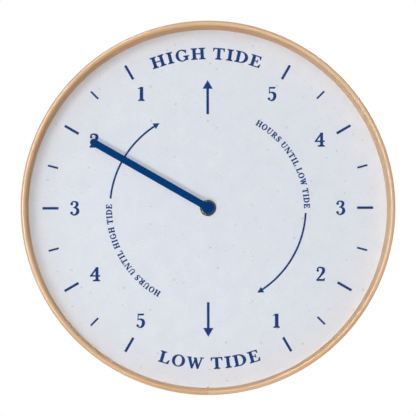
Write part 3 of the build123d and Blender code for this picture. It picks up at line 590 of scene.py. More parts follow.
def alphabet(serif):
    """The width and strokes of each letter and numeral, with serifs that reach this far."""

    def post(x, width=THICK, foot=(serif, serif), head=(serif, serif), low=0, high=1):
        return stem(x, width, foot, head, low, high)

    return {
        "H": (1.16, [post(0.27), post(0.89), bar(0.27, 0.45, 0.89, 0.55)]),
        "I": (0.54, [post(0.27)]),
        "T": (0.98, [post(0.49, head=(0, 0)), bar(0.03, 0.9, 0.95, 1),
                     [(0.03, 0.92), (0.17, 0.92), (0.09, 0.7), (0.03, 0.7)],
                     [(0.95, 0.92), (0.81, 0.92), (0.89, 0.7), (0.95, 0.7)]]),
        "D": (1.08, [post(0.26, foot=(serif, 0), head=(serif, 0)), bar(0.26, 0, 0.5, 0.09),
                     bar(0.26, 0.91, 0.5, 1), arch((0.46, 0.5), (0.58, 0.5), (0.32, 0.41), -94, 94)]),
        "E": (0.94, [post(0.26, foot=(serif, 0), head=(serif, 0)), bar(0.26, 0, 0.86, 0.09),
                     bar(0.26, 0.91, 0.82, 1), bar(0.26, 0.46, 0.6, 0.55),
                     [(0.86, 0), (0.9, 0.32), (0.83, 0.32), (0.68, 0.06)],
                     [(0.82, 1), (0.82, 0.7), (0.76, 0.7), (0.64, 0.93)], bar(0.56, 0.34, 0.63, 0.67)]),
        "L": (0.9, [post(0.26, foot=(serif, 0)), bar(0.26, 0, 0.84, 0.09),
                    [(0.84, 0), (0.88, 0.36), (0.81, 0.36), (0.64, 0.06)]]),
        "G": (1.12, [arch((0.55, 0.5), (0.5, 0.52), (0.26, 0.43), 48, 312, 30),
                     [(0.92, 0.98), (0.92, 0.66), (0.86, 0.66), (0.74, 0.84), (0.8, 0.92)],
                     post(0.88, 0.23, foot=(0, 0), head=(0.12, 0.1), low=0.06, high=0.46)]),
        "O": (1.12, ring((0.56, 0.5), (0.52, 0.52), (0.27, 0.43))),
        "W": (1.36, [[(0.065, 1), (0.315, 1), (0.54, 0.12), (0.49, 0), (0.37, 0)],
                     slant((0.44, 0), (0.7, 0.92), 0.12),
                     [(0.525, 0.96), (0.775, 0.96), (1, 0.12), (0.95, 0), (0.83, 0)],
                     slant((0.9, 0), (1.18, 1), 0.12),
                     bar(0, 0.925, 0.38, 1), bar(1.02, 0.925, 1.34, 1)]),
        "N": (1.2, [post(0.2, 0.11, head=(0, 0)), post(0.98, 0.11, foot=(0, 0)),
                    slant((0.2, 1), (0.94, 0), 0.27), bar(0.02, 0.925, 0.3, 1)]),
        "R": (1.1, [post(0.26, head=(serif, 0)), bar(0.26, 0.91, 0.54, 1), bar(0.26, 0.45, 0.54, 0.54),
                    arch((0.52, 0.725), (0.36, 0.275), (0.12, 0.185), -94, 94),
                    slant((0.52, 0.48), (0.9, 0), 0.27), bar(0.74, 0, 1.1, 0.075)]),
        "U": (1.14, [post(0.27, foot=(0, 0), low=0.34), post(0.9, 0.12, foot=(0, 0), low=0.34),
                     arch((0.555, 0.36), (0.41, 0.38), (0.285, 0.27), 180, 362)]),
        "S": (0.84, [brush((0.69, 0.74, 0.05), (0.62, 0.9, 0.09), (0.42, 0.96, 0.1), (0.22, 0.86, 0.16),
                           (0.2, 0.69, 0.22), (0.42, 0.52, 0.28), (0.64, 0.34, 0.23), (0.62, 0.15, 0.17),
                           (0.42, 0.045, 0.1), (0.2, 0.1, 0.09), (0.12, 0.28, 0.05)),
                     bar(0.665, 0.68, 0.73, 1), bar(0.08, 0, 0.145, 0.33)]),
        "1": (0.5, [post(0.27, 0.25, foot=(0.12, 0.1), head=(0, 0)),
                    [(0.395, 1), (0.28, 1), (0.01, 0.91), (0.01, 0.85), (0.16, 0.86)]]),
        "2": (0.68, [brush((0.12, 0.74, 0.1), (0.17, 0.91, 0.11), (0.35, 0.955, 0.11), (0.54, 0.86, 0.2),
                           (0.54, 0.66, 0.22), (0.38, 0.42, 0.15), (0.14, 0.13, 0.1)),
                     dot(0.15, 0.74, 0.09), bar(0.04, 0, 0.62, 0.15), [(0.62, 0), (0.66, 0.22), (0.61, 0.22),
                                                                        (0.52, 0.13)]]),
        "3": (0.66, [brush((0.12, 0.8, 0.1), (0.2, 0.94, 0.1), (0.36, 0.965, 0.1), (0.52, 0.86, 0.19),
                           (0.5, 0.68, 0.19), (0.36, 0.56, 0.09), (0.26, 0.53, 0.08)),
                     brush((0.28, 0.54, 0.08), (0.4, 0.53, 0.1), (0.55, 0.42, 0.2), (0.56, 0.22, 0.23),
                           (0.42, 0.06, 0.14), (0.26, 0.035, 0.1), (0.12, 0.13, 0.1)),
                     dot(0.15, 0.8, 0.1), dot(0.14, 0.17, 0.1)]),
        "4": (0.72, [post(0.5, 0.21, foot=(0.19, 0.12), head=(0, 0)), slant((0.52, 1), (0.075, 0.38), 0.15),
                     bar(0, 0.33, 0.72, 0.44)]),
        "5": (0.66, [bar(0.14, 0.87, 0.56, 1), [(0.14, 1), (0.21, 0.92), (0.19, 0.55), (0.12, 0.52)],
                     brush((0.14, 0.54, 0.05), (0.3, 0.62, 0.1), (0.5, 0.52, 0.2), (0.54, 0.31, 0.23),
                           (0.44, 0.1, 0.17), (0.28, 0.04, 0.1), (0.12, 0.13, 0.1)),
                     dot(0.13, 0.17, 0.09), [(0.56, 0.87), (0.6, 1.02), (0.5, 1), (0.5, 0.87)]]),
    }


LETTERS = alphabet(SERIF)
print("letters and numerals drawn:", len(LETTERS))

# %% [markdown]
# Each stroke is first a flat curve, which becomes a mesh and a thin block. A Boolean unites the strokes of a
# letter. The letter is then copied, each copy with its own mesh, and set on the dial: scaled to its
# height, turned and moved. Words on an arc share out the arc in proportion to the letters' widths, and two
# pairs of letters stand closer. The small words have shorter serifs and bolder strokes.

# %% Set the scale on the dial
INK_HEIGHT = 0.05 * MM
PRINT_TURN = 0.15
LETTER_GAP = 0.13
KERN = {"LO": -0.04, "OW": -0.05}
BOLD_WEIGHT = 0.004
SMALL_WEIGHT = 0.03
DIAL_FACE = Matrix.Translation((AXIS.x, -DIAL_DEPTH, AXIS.z)) @ Matrix.Rotation(pi / 2, 4, "X")
ON_DIAL = DIAL_FACE @ Matrix.Rotation(radians(PRINT_TURN), 4, "Z")


def block(outline, weight=0):
    """A stroke one unit thick from its outline, made bolder all round by the weight."""
    area = sum(a[0] * b[1] - b[0] * a[1] for a, b in zip(outline, outline[1:] + outline[:1]))
    outline = outline if area < 0 else outline[::-1]
    curve = bpy.data.curves.new("stroke", "CURVE")
    curve.dimensions = "2D"
    curve.fill_mode = "BOTH"
    curve.extrude = 0.5
    curve.offset = weight
    line = curve.splines.new("POLY")
    line.points.add(len(outline) - 1)
    for point, (x, y) in zip(line.points, outline):
        point.co = (x, y, 0, 1)
    line.use_cyclic_u = True
    stroke = show("stroke", curve)
    only(stroke)
    bpy.ops.object.convert(target="MESH")
    open_up(stroke)
    merge(1e-4)
    bpy.ops.mesh.normals_make_consistent(inside=False)
    bpy.ops.object.mode_set(mode="OBJECT")
    return stroke


def unite(strokes):
    """One clean block from overlapping ones."""
    for stroke in strokes[1:]:
        combine(strokes[0], stroke, "UNION")
    return strokes[0]


def put(pattern, size, x, y, turn=0, narrow=1):
    """Copy a pattern to a place on the dial, counted from the clock's axis, turned clockwise."""
    copy = show(pattern.name, pattern.data.copy())
    flat = Matrix.Translation((x, y, INK_HEIGHT / 2)) @ Matrix.Rotation(-radians(turn), 4, "Z")
    copy.data.transform(ON_DIAL @ flat @ Matrix.Diagonal((size * narrow, size, INK_HEIGHT, 1)))
    print_marks.append(copy)


def round_place(radius, clock):
    """The place at this radius and clock angle, clockwise from the top."""
    return radius * sin(radians(clock)), radius * cos(radians(clock))


def draw(letters, wanted, weight=0):
    """The wanted letters as patterns one unit high, in this weight."""
    drawn = {}
    for letter in sorted(set(wanted) - {" "}):
        drawn[letter] = unite([block(outline, weight) for outline in letters[letter][1]])
        drawn[letter].name = "letter_" + letter
    return drawn


def arc_words(words, patterns, height, arc, space, inward=False):
    """Letters on a baseline from one clock angle to another, with their tops outwards or inwards."""
    baseline, start, end = arc
    widths = [space if letter == " " else LETTERS[letter][0] for letter in words]
    gaps = [LETTER_GAP + KERN.get(words[place:place + 2], 0) for place in range(len(words))]
    total = sum(widths) + sum(gaps[:-1])
    middle = baseline - height / 2 if inward else baseline + height / 2
    narrow = abs(radians(end - start)) * middle / (total * height)
    reached = 0
    for letter, width, after in zip(words, widths, gaps):
        clock = start + (end - start) * (reached + width / 2) / total
        reached += width + after
        if letter == " ":
            continue
        turn = clock + 180 if inward else clock
        x, y = round_place(baseline, clock)
        across = round_place(width * height * narrow / 2, turn + 90)
        put(patterns[letter], height, x - across[0], y - across[1], turn, narrow)


HIGH_WORDS = "HOURS UNTIL HIGH TIDE"
LOW_WORDS = "HOURS UNTIL LOW TIDE"
figures = draw(LETTERS, "12345")
bold = draw(LETTERS, "HIGH LOW TIDE", BOLD_WEIGHT)
small = draw(alphabet(SMALL_SERIF), HIGH_WORDS + LOW_WORDS, SMALL_WEIGHT)
print_marks = []
print("patterns made:", len(figures), "figures,", len(bold), "large and", len(small), "small letters")

# %% [markdown]
# The headings stand at high and low water and the small words on two arcs nearer the middle. Each arc is its
# baseline's radius and its two clock angles. A numeral stands at each hour, with its own small shift to the
# right and up, in millimetres.

# %% Words and numerals
HIGH_ARC = (123.1 * MM, -21.4, 20.4)
LOW_ARC = (132.4 * MM, 198.35, 160.75)
RIGHT_ARC = (79.2 * MM, 29.7, 90.3)
LEFT_ARC = (79.1 * MM, 209.3, 272.3)
CAPS = 9.6 * MM
SMALL_CAPS = 4.75 * MM
FIGURE = 11.7 * MM
FIGURE_RADIUS = 109.2 * MM
FIGURES = {30: ("5", -1.6, -0.3), 60: ("4", -2.2, 1.7), 90: ("3", -0.2, 0), 120: ("2", -2.1, 0.1),
           150: ("1", 1.4, 1.7), 210: ("5", -1.1, 2), 240: ("4", 1.6, 0.3), 270: ("3", -0.8, 0),
           300: ("2", 0.6, 1.2), 330: ("1", -0.3, -0.2)}
arc_words("HIGH TIDE", bold, CAPS, HIGH_ARC, 0.29)
arc_words("LOW TIDE", bold, CAPS, LOW_ARC, 0.27, inward=True)
arc_words(LOW_WORDS, small, SMALL_CAPS, RIGHT_ARC, 0.36)
arc_words(HIGH_WORDS, small, SMALL_CAPS, LEFT_ARC, 0.36)
for clock, (figure, right, up) in FIGURES.items():
    x, y = round_place(FIGURE_RADIUS, clock)
    left = x + right * MM - LETTERS[figure][0] * FIGURE / 2
    put(figures[figure], FIGURE, left, y + up * MM - FIGURE / 2)
print("letters set:", len(print_marks))

# %% [markdown]
# Ticks, arrows and arcs are drawn the same way. A long tick stands at each hour and a short one at the half
# hours, and three of these sit a little further in. The straight arrows point to high and low water, and the
# curved ones run on from the words.

# %% Ticks, arrows and arcs
LONG_TICK = (122.9 * MM, 136.2 * MM, 2.1 * MM)
SHORT_TICK = (127.7 * MM, 136.4 * MM, 1.6 * MM)
SHORT_CLOCKS = (45, 75, 225, 285, 315)
INNER_TICK = (127 * MM, 135.7 * MM, 1.6 * MM)
INNER_CLOCKS = (105, 135, 255)
ARROW = (77.5 * MM, 105.9 * MM)
ARROW_SHAFT = 2.2 * MM
ARROW_HEAD = (8.5 * MM, 7.3 * MM)
ARC_RADIUS = 80.6 * MM
ARC_WIDTH = 1.6 * MM
ARC_HEAD = (5.4 * MM, 5.2 * MM)
ARC_CLOCKS = ((93, 150), (275.6, 330.5))


def put_once(outlines):
    """Set a shape that is drawn at its real size on the dial."""
    shape = unite([block(outline) for outline in outlines])
    put(shape, 1, 0, 0)
    bpy.data.objects.remove(shape)


def turned(outline, clock):
    """The same outline, turned clockwise round the clock's axis."""
    angle = radians(clock)
    return [(x * cos(angle) + y * sin(angle), y * cos(angle) - x * sin(angle)) for x, y in outline]


for clocks, (low, high, width) in ((FIGURES, LONG_TICK), (SHORT_CLOCKS, SHORT_TICK),
                                   (INNER_CLOCKS, INNER_TICK)):
    for clock in clocks:
        put_once([turned(bar(-width / 2, low, width / 2, high), clock)])
neck = ARROW[1] - ARROW_HEAD[1]
arrow = [(-ARROW_SHAFT / 2, ARROW[0]), (ARROW_SHAFT / 2, ARROW[0]), (ARROW_SHAFT / 2, neck),
         (ARROW_HEAD[0] / 2, neck), (0, ARROW[1]), (-ARROW_HEAD[0] / 2, neck), (-ARROW_SHAFT / 2, neck)]
for clock in (0, 180):
    put_once([turned(arrow, clock)])
outer = (ARC_RADIUS + ARC_WIDTH / 2,) * 2
inner = (ARC_RADIUS - ARC_WIDTH / 2,) * 2
head = [(-ARC_HEAD[1], ARC_RADIUS - ARC_HEAD[0] / 2), (-ARC_HEAD[1], ARC_RADIUS + ARC_HEAD[0] / 2),
        (0, ARC_RADIUS)]
for start, end in ARC_CLOCKS:
    sweep = arch((0, 0), outer, inner, 90 - start, 92 - end, 48)
    put_once([sweep, turned(head, end)])

only(print_marks[0])
for mark in print_marks:
    mark.select_set(True)
bpy.ops.object.join()
scale_print = bpy.context.object
for pattern in (*figures.values(), *bold.values(), *small.values()):
    bpy.data.objects.remove(pattern)
settle(scale_print, "scale_print", "case", "blue_paint", ink)

# %% [markdown]
# The tide hand is a blade of thin sheet metal in satin blue paint, with a round tip and a raised hub.
# The blade starts as a plane, its tip corners are rounded and it is extruded to its thickness, then its
# edges are softened as paint softens them. Hub and cap are turned discs, so their sections are spun.

# %% Blue paint


def paint_finish(name, main, other, gloss):
    finish, tree, shader = new_finish(name, Specular_IOR_Level=gloss)
    orange_peel = grain(tree, 0.35 * MM, 3)
    clouds = grain(tree, 9 * MM, 2)
    feed(tree, shader, Base_Color=blend(tree, band(tree, clouds, 0.35, 0.65, 0, 0.35), main, other),
         Roughness=band(tree, orange_peel, 0.3, 0.7, 0.42, 0.55))
    bump(tree, shader, orange_peel, 0.15, 0.03 * MM)
    return finish


blue_paint = paint_finish("blue paint", shade(1, 58, 114), shade(2, 55, 108), 0.005)
cap_paint = paint_finish("cap paint", shade(1, 48, 120), shade(2, 44, 110), 0.02)
print("finishes", blue_paint.name, "and", cap_paint.name)

# %% Tide hand
HAND_CLOCK = 299.7
HAND_LENGTH = 111.3 * MM
HAND_WIDTH = 5.8 * MM
HAND_THICKNESS = 0.6 * MM
HUB_RADIUS = 4.9 * MM
HUB_BORE = 2.53 * MM
BLADE_ROOT = 3.2 * MM
BLADE_EDGE = 0.15 * MM
HUB_EDGE = 0.55 * MM
FINE = 0.01 * MM
hand_low, hand_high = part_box("tide_hand")
HAND_REAR = -hand_high.y
HUB_FRONT = -hand_low.y

bpy.ops.mesh.primitive_plane_add(size=1, location=((HAND_LENGTH + BLADE_ROOT) / 2, 0, 0))
hand_piece = sized(HAND_LENGTH - BLADE_ROOT, HAND_WIDTH, 1)
open_up(hand_piece)
pick("VERT", lambda middle, corner: near(middle.x, HAND_LENGTH))
bpy.ops.mesh.bevel(offset=HAND_WIDTH * ALMOST_HALF, segments=12, affect="VERTICES")
bpy.ops.mesh.select_all(action="SELECT")
pull(z=HAND_THICKNESS)
pick("EDGE", lambda middle, edge: near(middle.z, HAND_THICKNESS, FINE) and middle.x > HUB_RADIUS * 1.05)
bpy.ops.mesh.bevel(offset=BLADE_EDGE, segments=3)
close_up()
hand_piece.rotation_euler = (pi / 2, radians(HAND_CLOCK - 90), 0)
hand_piece.location = (AXIS.x, -HAND_REAR, AXIS.z)


def turned_disc(section, bevels, steps=96):
    """Spin a section of (radius, depth) corners, given as its low and high corner, with rounded corners."""
    (low_radius, low_depth), (high_radius, high_depth) = section
    piece = flat_start(low_radius, high_radius, low_depth, high_depth)
    for radius, depth, size, segments in bevels:
        pick("VERT", lambda middle, corner: near(middle.x, radius, FINE) and near(middle.y, -depth, FINE))
        bpy.ops.mesh.bevel(offset=size, segments=segments, affect="VERTICES")
    spin_outline(steps)
    close_up()
    return piece


hub = turned_disc(((HUB_BORE, HAND_REAR), (HUB_RADIUS, HUB_FRONT)), ((HUB_RADIUS, HUB_FRONT, HUB_EDGE, 5),))
combine(fix_place(hand_piece), hub, "UNION")
open_up(hand_piece)
close_up()
settle(hand_piece, "tide_hand_blade", "hand", "blue_paint", blue_paint, "tide_hand")

# %% [markdown]
# The cap closes the end of the pipe. It is a small button with a rounded shoulder and a shallow groove that
# leaves a raised ring at its edge, which catches the light. The top starts as a disc, and insets cut the
# groove and the middle.

# %% Cap
CAP_RADIUS = 3.05 * MM
CAP_SHOULDER = 0.75 * MM
CAP_SLOPE = 0.22 * MM
CAP_GROOVE = 0.35 * MM
GROOVE_DEPTH = 0.3 * MM
MIDDLE_RISE = 0.22 * MM
CAP_EDGE = 0.18 * MM
PEG_RADIUS = 1 * MM
PEG_LENGTH = 1.2 * MM
CAP_FRONT = -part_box("hand_cap")[0].y
cap_middle = (AXIS.x, -(HUB_FRONT + CAP_FRONT) / 2, AXIS.z)
bpy.ops.mesh.primitive_cylinder_add(vertices=64, radius=CAP_RADIUS, depth=CAP_FRONT - HUB_FRONT,
                                    location=cap_middle, rotation=(pi / 2, 0, 0))
cap_piece = fix_place(bpy.context.object)
open_up(cap_piece)
pick("FACE", lambda middle, face: face.normal.y < -0.9)
bpy.ops.mesh.inset(thickness=CAP_SHOULDER)
bpy.ops.mesh.inset(thickness=CAP_SLOPE)
bpy.ops.transform.translate(value=(0, GROOVE_DEPTH, 0))
bpy.ops.mesh.inset(thickness=CAP_GROOVE)
bpy.ops.transform.translate(value=(0, -MIDDLE_RISE, 0))


def on_cap_edge(middle, edge):
    """The two circles of the raised ring, without the lines between them."""
    one, other = [hypot(corner.co.x, corner.co.z - AXIS.z) for corner in edge.verts]
    return near(middle.y, -CAP_FRONT, 0.02 * MM) and near(one, other)


pick("EDGE", on_cap_edge)
bpy.ops.mesh.bevel(offset=CAP_EDGE, segments=3)
pick("FACE", lambda middle, face: near(middle.y, -HUB_FRONT, 0.02 * MM) and face.normal.y > 0.9)
bpy.ops.mesh.inset(thickness=CAP_RADIUS - PEG_RADIUS)
pull(y=PEG_LENGTH)
close_up(50)
settle(cap_piece, "hand_cap_button", "hand", "blue_paint", cap_paint, "hand_cap")

# %% [markdown]
# A round brass nut holds the movement to the dial, and it shows as a metal ring round the hub.
# Turned brass has fine rings from the tool and a little tarnish at random. The rings follow the distance
# from the axis, so the pattern is a wave of that distance.

# %% Brass finish and the nut


def metal_finish(name, light, dark, roughness, ring_step):
    """Turned metal with fine rings round the clock's axis and a little tarnish."""
    finish, tree, shader = new_finish(name, Metallic=1)
    rings = calc(tree, "SINE", calc(tree, "MULTIPLY", axis_place(tree)[2], tau / ring_step))
    tarnish = grain(tree, 2 * MM, 4)
    feed(tree, shader, Base_Color=blend(tree, band(tree, tarnish, 0.3, 0.7), light, dark),
         Roughness=band(tree, tarnish, 0.3, 0.7, roughness, roughness + 0.15))
    bump(tree, shader, rings, 0.08, 0.02 * MM)
    return finish


brass = metal_finish("dark brass", shade(73, 71, 66), shade(43, 40, 36), 0.35, 0.12 * MM)
steel = metal_finish("plain steel", shade(186, 186, 188), shade(140, 141, 146), 0.3, 0.3 * MM)
nut_low, nut_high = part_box("mounting_nut")
NUT_RADIUS = nut_high.x
NUT_BORE = 4.03 * MM
NUT_EDGE = 0.45 * MM
NUT_FOOT = 0.15 * MM
BORE_EDGE = 0.3 * MM
SLOT_WIDTH = 1.6 * MM
SLOT_DEPTH = 0.8 * MM
nut_piece = turned_disc(((NUT_BORE, -nut_high.y), (NUT_RADIUS, -nut_low.y)),
                        ((NUT_RADIUS, -nut_low.y, NUT_EDGE, 4), (NUT_RADIUS, -nut_high.y, NUT_FOOT, 2),
                         (NUT_BORE, -nut_low.y, BORE_EDGE, 3)))
bpy.ops.mesh.primitive_cube_add(size=1, location=(AXIS.x, nut_low.y, AXIS.z))
combine(nut_piece, sized(SLOT_WIDTH, SLOT_DEPTH * 2, NUT_RADIUS * 3), "DIFFERENCE")
open_up(nut_piece)
close_up()
settle(nut_piece, "nut_turned", "case", "brass", brass, "mounting_nut")

# %% [markdown]
# The back shows what carries the clock: a moulded pan with ribs and a hanger, the black movement case, the
# battery and the setting knob. Their solids have the right shapes but sharp edges, and a moulded edge is
# always a little round. So each mesh is copied, merged, freed of needless edges and bevelled.

# %% Moulded finishes


def moulded_finish(name, light, dark, roughness, grain_size=0.5 * MM, relief=0.2):
    """Moulded plastic: a fine spark-eroded grain and slow changes of tone."""
    finish, tree, shader = new_finish(name, Specular_IOR_Level=0.35)
    sparks = grain(tree, grain_size, 3)
    clouds = grain(tree, 35 * MM, 3)
    feed(tree, shader, Base_Color=blend(tree, band(tree, clouds, 0.35, 0.65), light, dark),
         Roughness=band(tree, sparks, 0.3, 0.7, roughness, roughness + 0.18))
    bump(tree, shader, sparks, relief, 0.08 * MM)
    return finish


pan_plastic = moulded_finish("pan plastic", shade(224, 222, 214), shade(216, 213, 204), 0.45)
black_plastic = moulded_finish("black plastic", shade(38, 38, 40), shade(30, 30, 32), 0.42)
white_plastic = moulded_finish("white plastic", shade(226, 225, 218), shade(218, 216, 206), 0.38,
                               grain_size=0.3 * MM, relief=0.1)
rubber = moulded_finish("rubber", shade(44, 43, 43), shade(36, 35, 35), 0.75, 0.4 * MM)


def softened(node, name, width, body, slot, finish, segments=2):
    """Replace a node by a merged copy of its mesh with rounded edges."""
    piece = show(name, nodes[node].data.copy())
    open_up(piece)
    merge(1e-6)
    bpy.ops.mesh.dissolve_limited(angle_limit=radians(0.5))
    bpy.ops.object.mode_set(mode="OBJECT")
    soft = piece.modifiers.new("edges", "BEVEL")
    soft.width = width
    soft.segments = segments
    soft.limit_method = "ANGLE"
    soft.angle_limit = radians(30)
    bpy.ops.object.modifier_apply(modifier=soft.name)
    bpy.ops.object.shade_smooth_by_angle(angle=radians(40))
    settle(piece, name, body, slot, finish, node)


softened("back_pan", "pan_moulding", 0.35 * MM, "case", "moulded_plastic", pan_plastic)
softened("movement_front_case", "movement_box", 0.3 * MM, "case", "black_plastic", black_plastic)
softened("movement_back_cover", "movement_cover", 0.2 * MM, "case", "black_plastic", black_plastic)
softened("setting_knob", "setting_knob_moulding", 0.12 * MM, "setting_knob", "white_plastic", white_plastic)

# %% [markdown]
# The battery has a plain printed sleeve between bare metal ends. The sleeve's colours change along its
# length, so they follow X. The rest of the movement keeps the solids' meshes, which are right, and takes
# the finish of its material: steel, brass, white plastic, copper wire, circuit board.

# %% Battery and inner finishes


SLEEVE_START = 0.03
SLEEVE_CHANGE = 0.71
SLEEVE_END = 0.955
WIRE_STEP = 0.18 * MM
TRACK_STEP = 2.2 * MM


def battery_finish():
    battery_low, battery_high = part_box("battery")
    finish, tree, shader = new_finish("battery sleeve", Coat_Weight=0.3)
    along = band(tree, split_place(tree)["X"], battery_low.x, battery_high.x)
    scuffs = grain(tree, 3 * MM, 4)
    bare = shade(182, 182, 184)
    sleeve = ramp(tree, along, (0, bare), (SLEEVE_START, shade(34, 40, 48)),
                  (SLEEVE_CHANGE, shade(176, 118, 66)), (SLEEVE_END, bare))
    sleeve.node.color_ramp.interpolation = "CONSTANT"
    rear = calc(tree, "LESS_THAN", along, SLEEVE_START)
    front = calc(tree, "GREATER_THAN", along, SLEEVE_END)
    feed(tree, shader, Metallic=calc(tree, "ADD", rear, front),
         Base_Color=blend(tree, band(tree, scuffs, 0.5, 0.8, 0, 0.3), sleeve, shade(120, 118, 114)),
         Roughness=band(tree, scuffs, 0.3, 0.7, 0.25, 0.4))
    return finish


def wound_finish():
    """Lacquered copper wire, wound round the coil's own length along X, with painted shade between the
    turns.
    """
    finish, tree, shader = new_finish("copper wire", Metallic=0.85, Roughness=0.35)
    turns = calc(tree, "SINE", calc(tree, "MULTIPLY", split_place(tree)["X"], tau / WIRE_STEP))
    # Painted shade: the colour darkens in the grooves between the turns, following the same wave as the
    # bump.
    tone = ramp(tree, band(tree, turns, -1, 1), (0, shade(120, 62, 34)), (1, shade(206, 132, 84)))
    feed(tree, shader, Base_Color=tone)
    bump(tree, shader, turns, 0.5, 0.05 * MM)
    return finish


def board_finish():
    """Green circuit board with lighter tracks under the varnish."""
    finish, tree, shader = new_finish("circuit board", Roughness=0.35, Coat_Weight=0.3)
    place = place_on(tree, TRACK_STEP, TRACK_STEP, TRACK_STEP)
    cells = add(tree, "TexVoronoi", Vector=place, Scale=1, distance="CHEBYCHEV")
    tracks = band(tree, cells.outputs["Distance"], 0.4, 0.46)
    feed(tree, shader, Base_Color=blend(tree, tracks, shade(28, 92, 56), shade(62, 130, 84)))
    bump(tree, shader, tracks, 0.2, 0.05 * MM)
    return finish


FINISHES = {"brass": brass, "steel": steel, "white_plastic": white_plastic, "black_plastic": black_plastic,
            "rubber": rubber, "copper_wire": wound_finish(), "board_green": board_finish(),
            "blue_paint": blue_paint}
softened("battery", "battery_cell", 0.25 * MM, "case", "battery_wrap", battery_finish(), 3)
dressed = 0
for subpart in frame["record"]["subparts"]:
    node = nodes[subpart["node"]]
    finish = FINISHES.get(subpart["material_slot"])
    if finish and not node.hide_render:
        dress(node, finish)
        dressed += 1
print("solids that keep their mesh:", dressed)

# %% [markdown]
# A flat clear lens closes the front. It is thin and coated, so it reflects little, and it casts no shadow:
# the lamps shine through it on the dial. It is faintly green in places, as clear glass is.

# %% Lens


def lens_finish():
    finish, tree, shader = new_finish("clear lens", Transmission_Weight=1, Roughness=0, IOR=1.45,
                                      Specular_IOR_Level=0.03, Specular_Tint=(0.01, 0.01, 0.01, 1))
    haze = grain(tree, 60 * MM, 2)
    feed(tree, shader, Base_Color=blend(tree, band(tree, haze, 0.3, 0.7), WHITE, (0.995, 1, 0.998, 1)))
    return finish


lens = nodes["lens"]
dress(lens, lens_finish())
lens.visible_shadow = False
lens.visible_diffuse = False

# %% [markdown]
# The clock is shown in front of plain white. The white is only what the camera, a mirror or a lens sees:
# the light on the object comes from the lamps and a dimmer world. A pale floor lies well below the clock.
# The key light stands at the front left, so the rim throws its shadow on the left of the dial, and a light
# from above shades the top. The hand's shadow lies up its right side, which needs a light from the lower
# left. A deep rim would block that light, so each lamp in front has its own casters: the low one takes
# shadows from the hand, its cap and the nut, and the others from the rim and its ring. A tall strip at the
# left shows only in reflections and draws the bright line along the nose, so the key light is kept out of
# them. The last light stands behind.

# %% World and floor
AMBIENT = 0.2
FLOOR_DROP = 0.30
FLOOR_SIZE = 1.6
FLOOR_PATCH = 0.4

world = bpy.data.worlds.new("white room")
bpy.context.scene.world = world
world.use_nodes = True
sky = world.node_tree
path = add(sky, "LightPath").outputs
seen = calc(sky, "MAXIMUM", path["Is Camera Ray"], path["Is Glossy Ray"])
seen = calc(sky, "MAXIMUM", seen, path["Is Transmission Ray"])
feed(sky, sky.nodes["Background"], Color=WHITE, Strength=band(sky, seen, 0, 1, AMBIENT, 1))

bpy.ops.mesh.primitive_plane_add(size=FLOOR_SIZE, location=(0, 0, rim_low.z - FLOOR_DROP))
floor = bpy.context.object
floor.name = "floor"
floor_finish, floor_tree, floor_shader = new_finish("pale floor", Roughness=0.8, Specular_IOR_Level=0.1)
floor_tone = ramp(floor_tree, grain(floor_tree, FLOOR_PATCH, 3),
                  (0.3, (0.86, 0.86, 0.86, 1)), (0.7, (0.9, 0.9, 0.9, 1)))
feed(floor_tree, floor_shader, Base_Color=floor_tone)
floor.data.materials.append(floor_finish)
print("floor at", round(floor.location.z, 3))

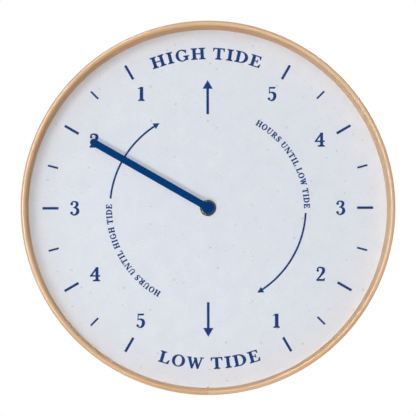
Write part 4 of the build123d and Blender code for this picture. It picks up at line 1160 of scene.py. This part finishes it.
# %% Lamps and camera
LAMPS = {
    "key": dict(side=-22, rise=5, distance=2.6, size=1, power=20.5, casters="rim", gloss=False),
    "low": dict(side=-16, rise=-27, distance=2, size=0.6, power=13, casters="hand"),
    "top": dict(side=0, rise=23, distance=2.2, size=0.9, power=7.4, casters="rim"),
    "fill": dict(side=22, rise=0, distance=2.6, size=1.2, power=2, casters="rim"),
    "edge": dict(side=-50, rise=26, distance=1.3, size=0.3, power=0.8, casters="rim"),
    "strip": dict(side=-32, rise=21, distance=1.3, size=0.42, tall=2.1, power=45, diffuse=False),
    "back": dict(side=150, rise=30, distance=1.6, size=1, power=12),
}
DIAL_MIDDLE = Vector((AXIS.x, -DIAL_DEPTH, AXIS.z))


def stand_at(target, side, rise, distance):
    """A place in front of the target, turned to the right by side and up by rise, in degrees."""
    side, rise = radians(side), radians(rise)
    level = distance * cos(rise)
    return target + Vector((level * sin(side), -level * cos(side), distance * sin(rise)))


def aim(piece, target):
    piece.rotation_euler = (target - piece.location).to_track_quat("-Z", "Y").to_euler()


def caster_group(name, *pieces):
    """Pieces that alone throw the shadows of a lamp."""
    group = bpy.data.collections.new(name)
    for piece in pieces:
        group.objects.link(bpy.data.objects[piece])
    return group


CASTERS = {"rim": caster_group("rim shadow", "rim_hoop", "spacer_hoop"),
           "hand": caster_group("hand shadow", "tide_hand_blade", "hand_cap_button", "nut_turned")}


def lamp(name, side, rise, distance, size, power, tall=0, casters=None, diffuse=True, gloss=True):
    """A round or tall lamp, which may have its own casters or be kept out of diffuse light or gloss."""
    light = bpy.data.lights.new(name, "AREA")
    light.shape = "RECTANGLE" if tall else "DISK"
    light.size = size
    light.size_y = tall or size
    light.energy = power
    stand = show(name, light)
    stand.visible_diffuse = diffuse
    stand.visible_glossy = gloss
    if casters:
        stand.light_linking.blocker_collection = CASTERS[casters]
    stand.location = stand_at(DIAL_MIDDLE, side, rise, distance)
    aim(stand, DIAL_MIDDLE)


for name, values in LAMPS.items():
    lamp(name, **values)

CAMERA_SIDE = -0.7
CAMERA_RISE = -2.8
CAMERA_DISTANCE = 1.5
CAMERA_LENS = 159.5
AIM_SHIFT = Vector((-0.2 * MM, 0, -0.88 * MM))
NOSE_MIDDLE = Vector((AXIS.x, LIP_WIDTH / 2 - RIM_DEPTH, AXIS.z))
camera = show("camera", bpy.data.cameras.new("camera"))
camera.data.lens = CAMERA_LENS
camera.location = stand_at(NOSE_MIDDLE, CAMERA_SIDE, CAMERA_RISE, CAMERA_DISTANCE)
aim(camera, NOSE_MIDDLE + AIM_SHIFT)
bpy.context.scene.camera = camera
bpy.context.scene.view_settings.view_transform = "Standard"
print("camera at", [round(value, 3) for value in camera.location])
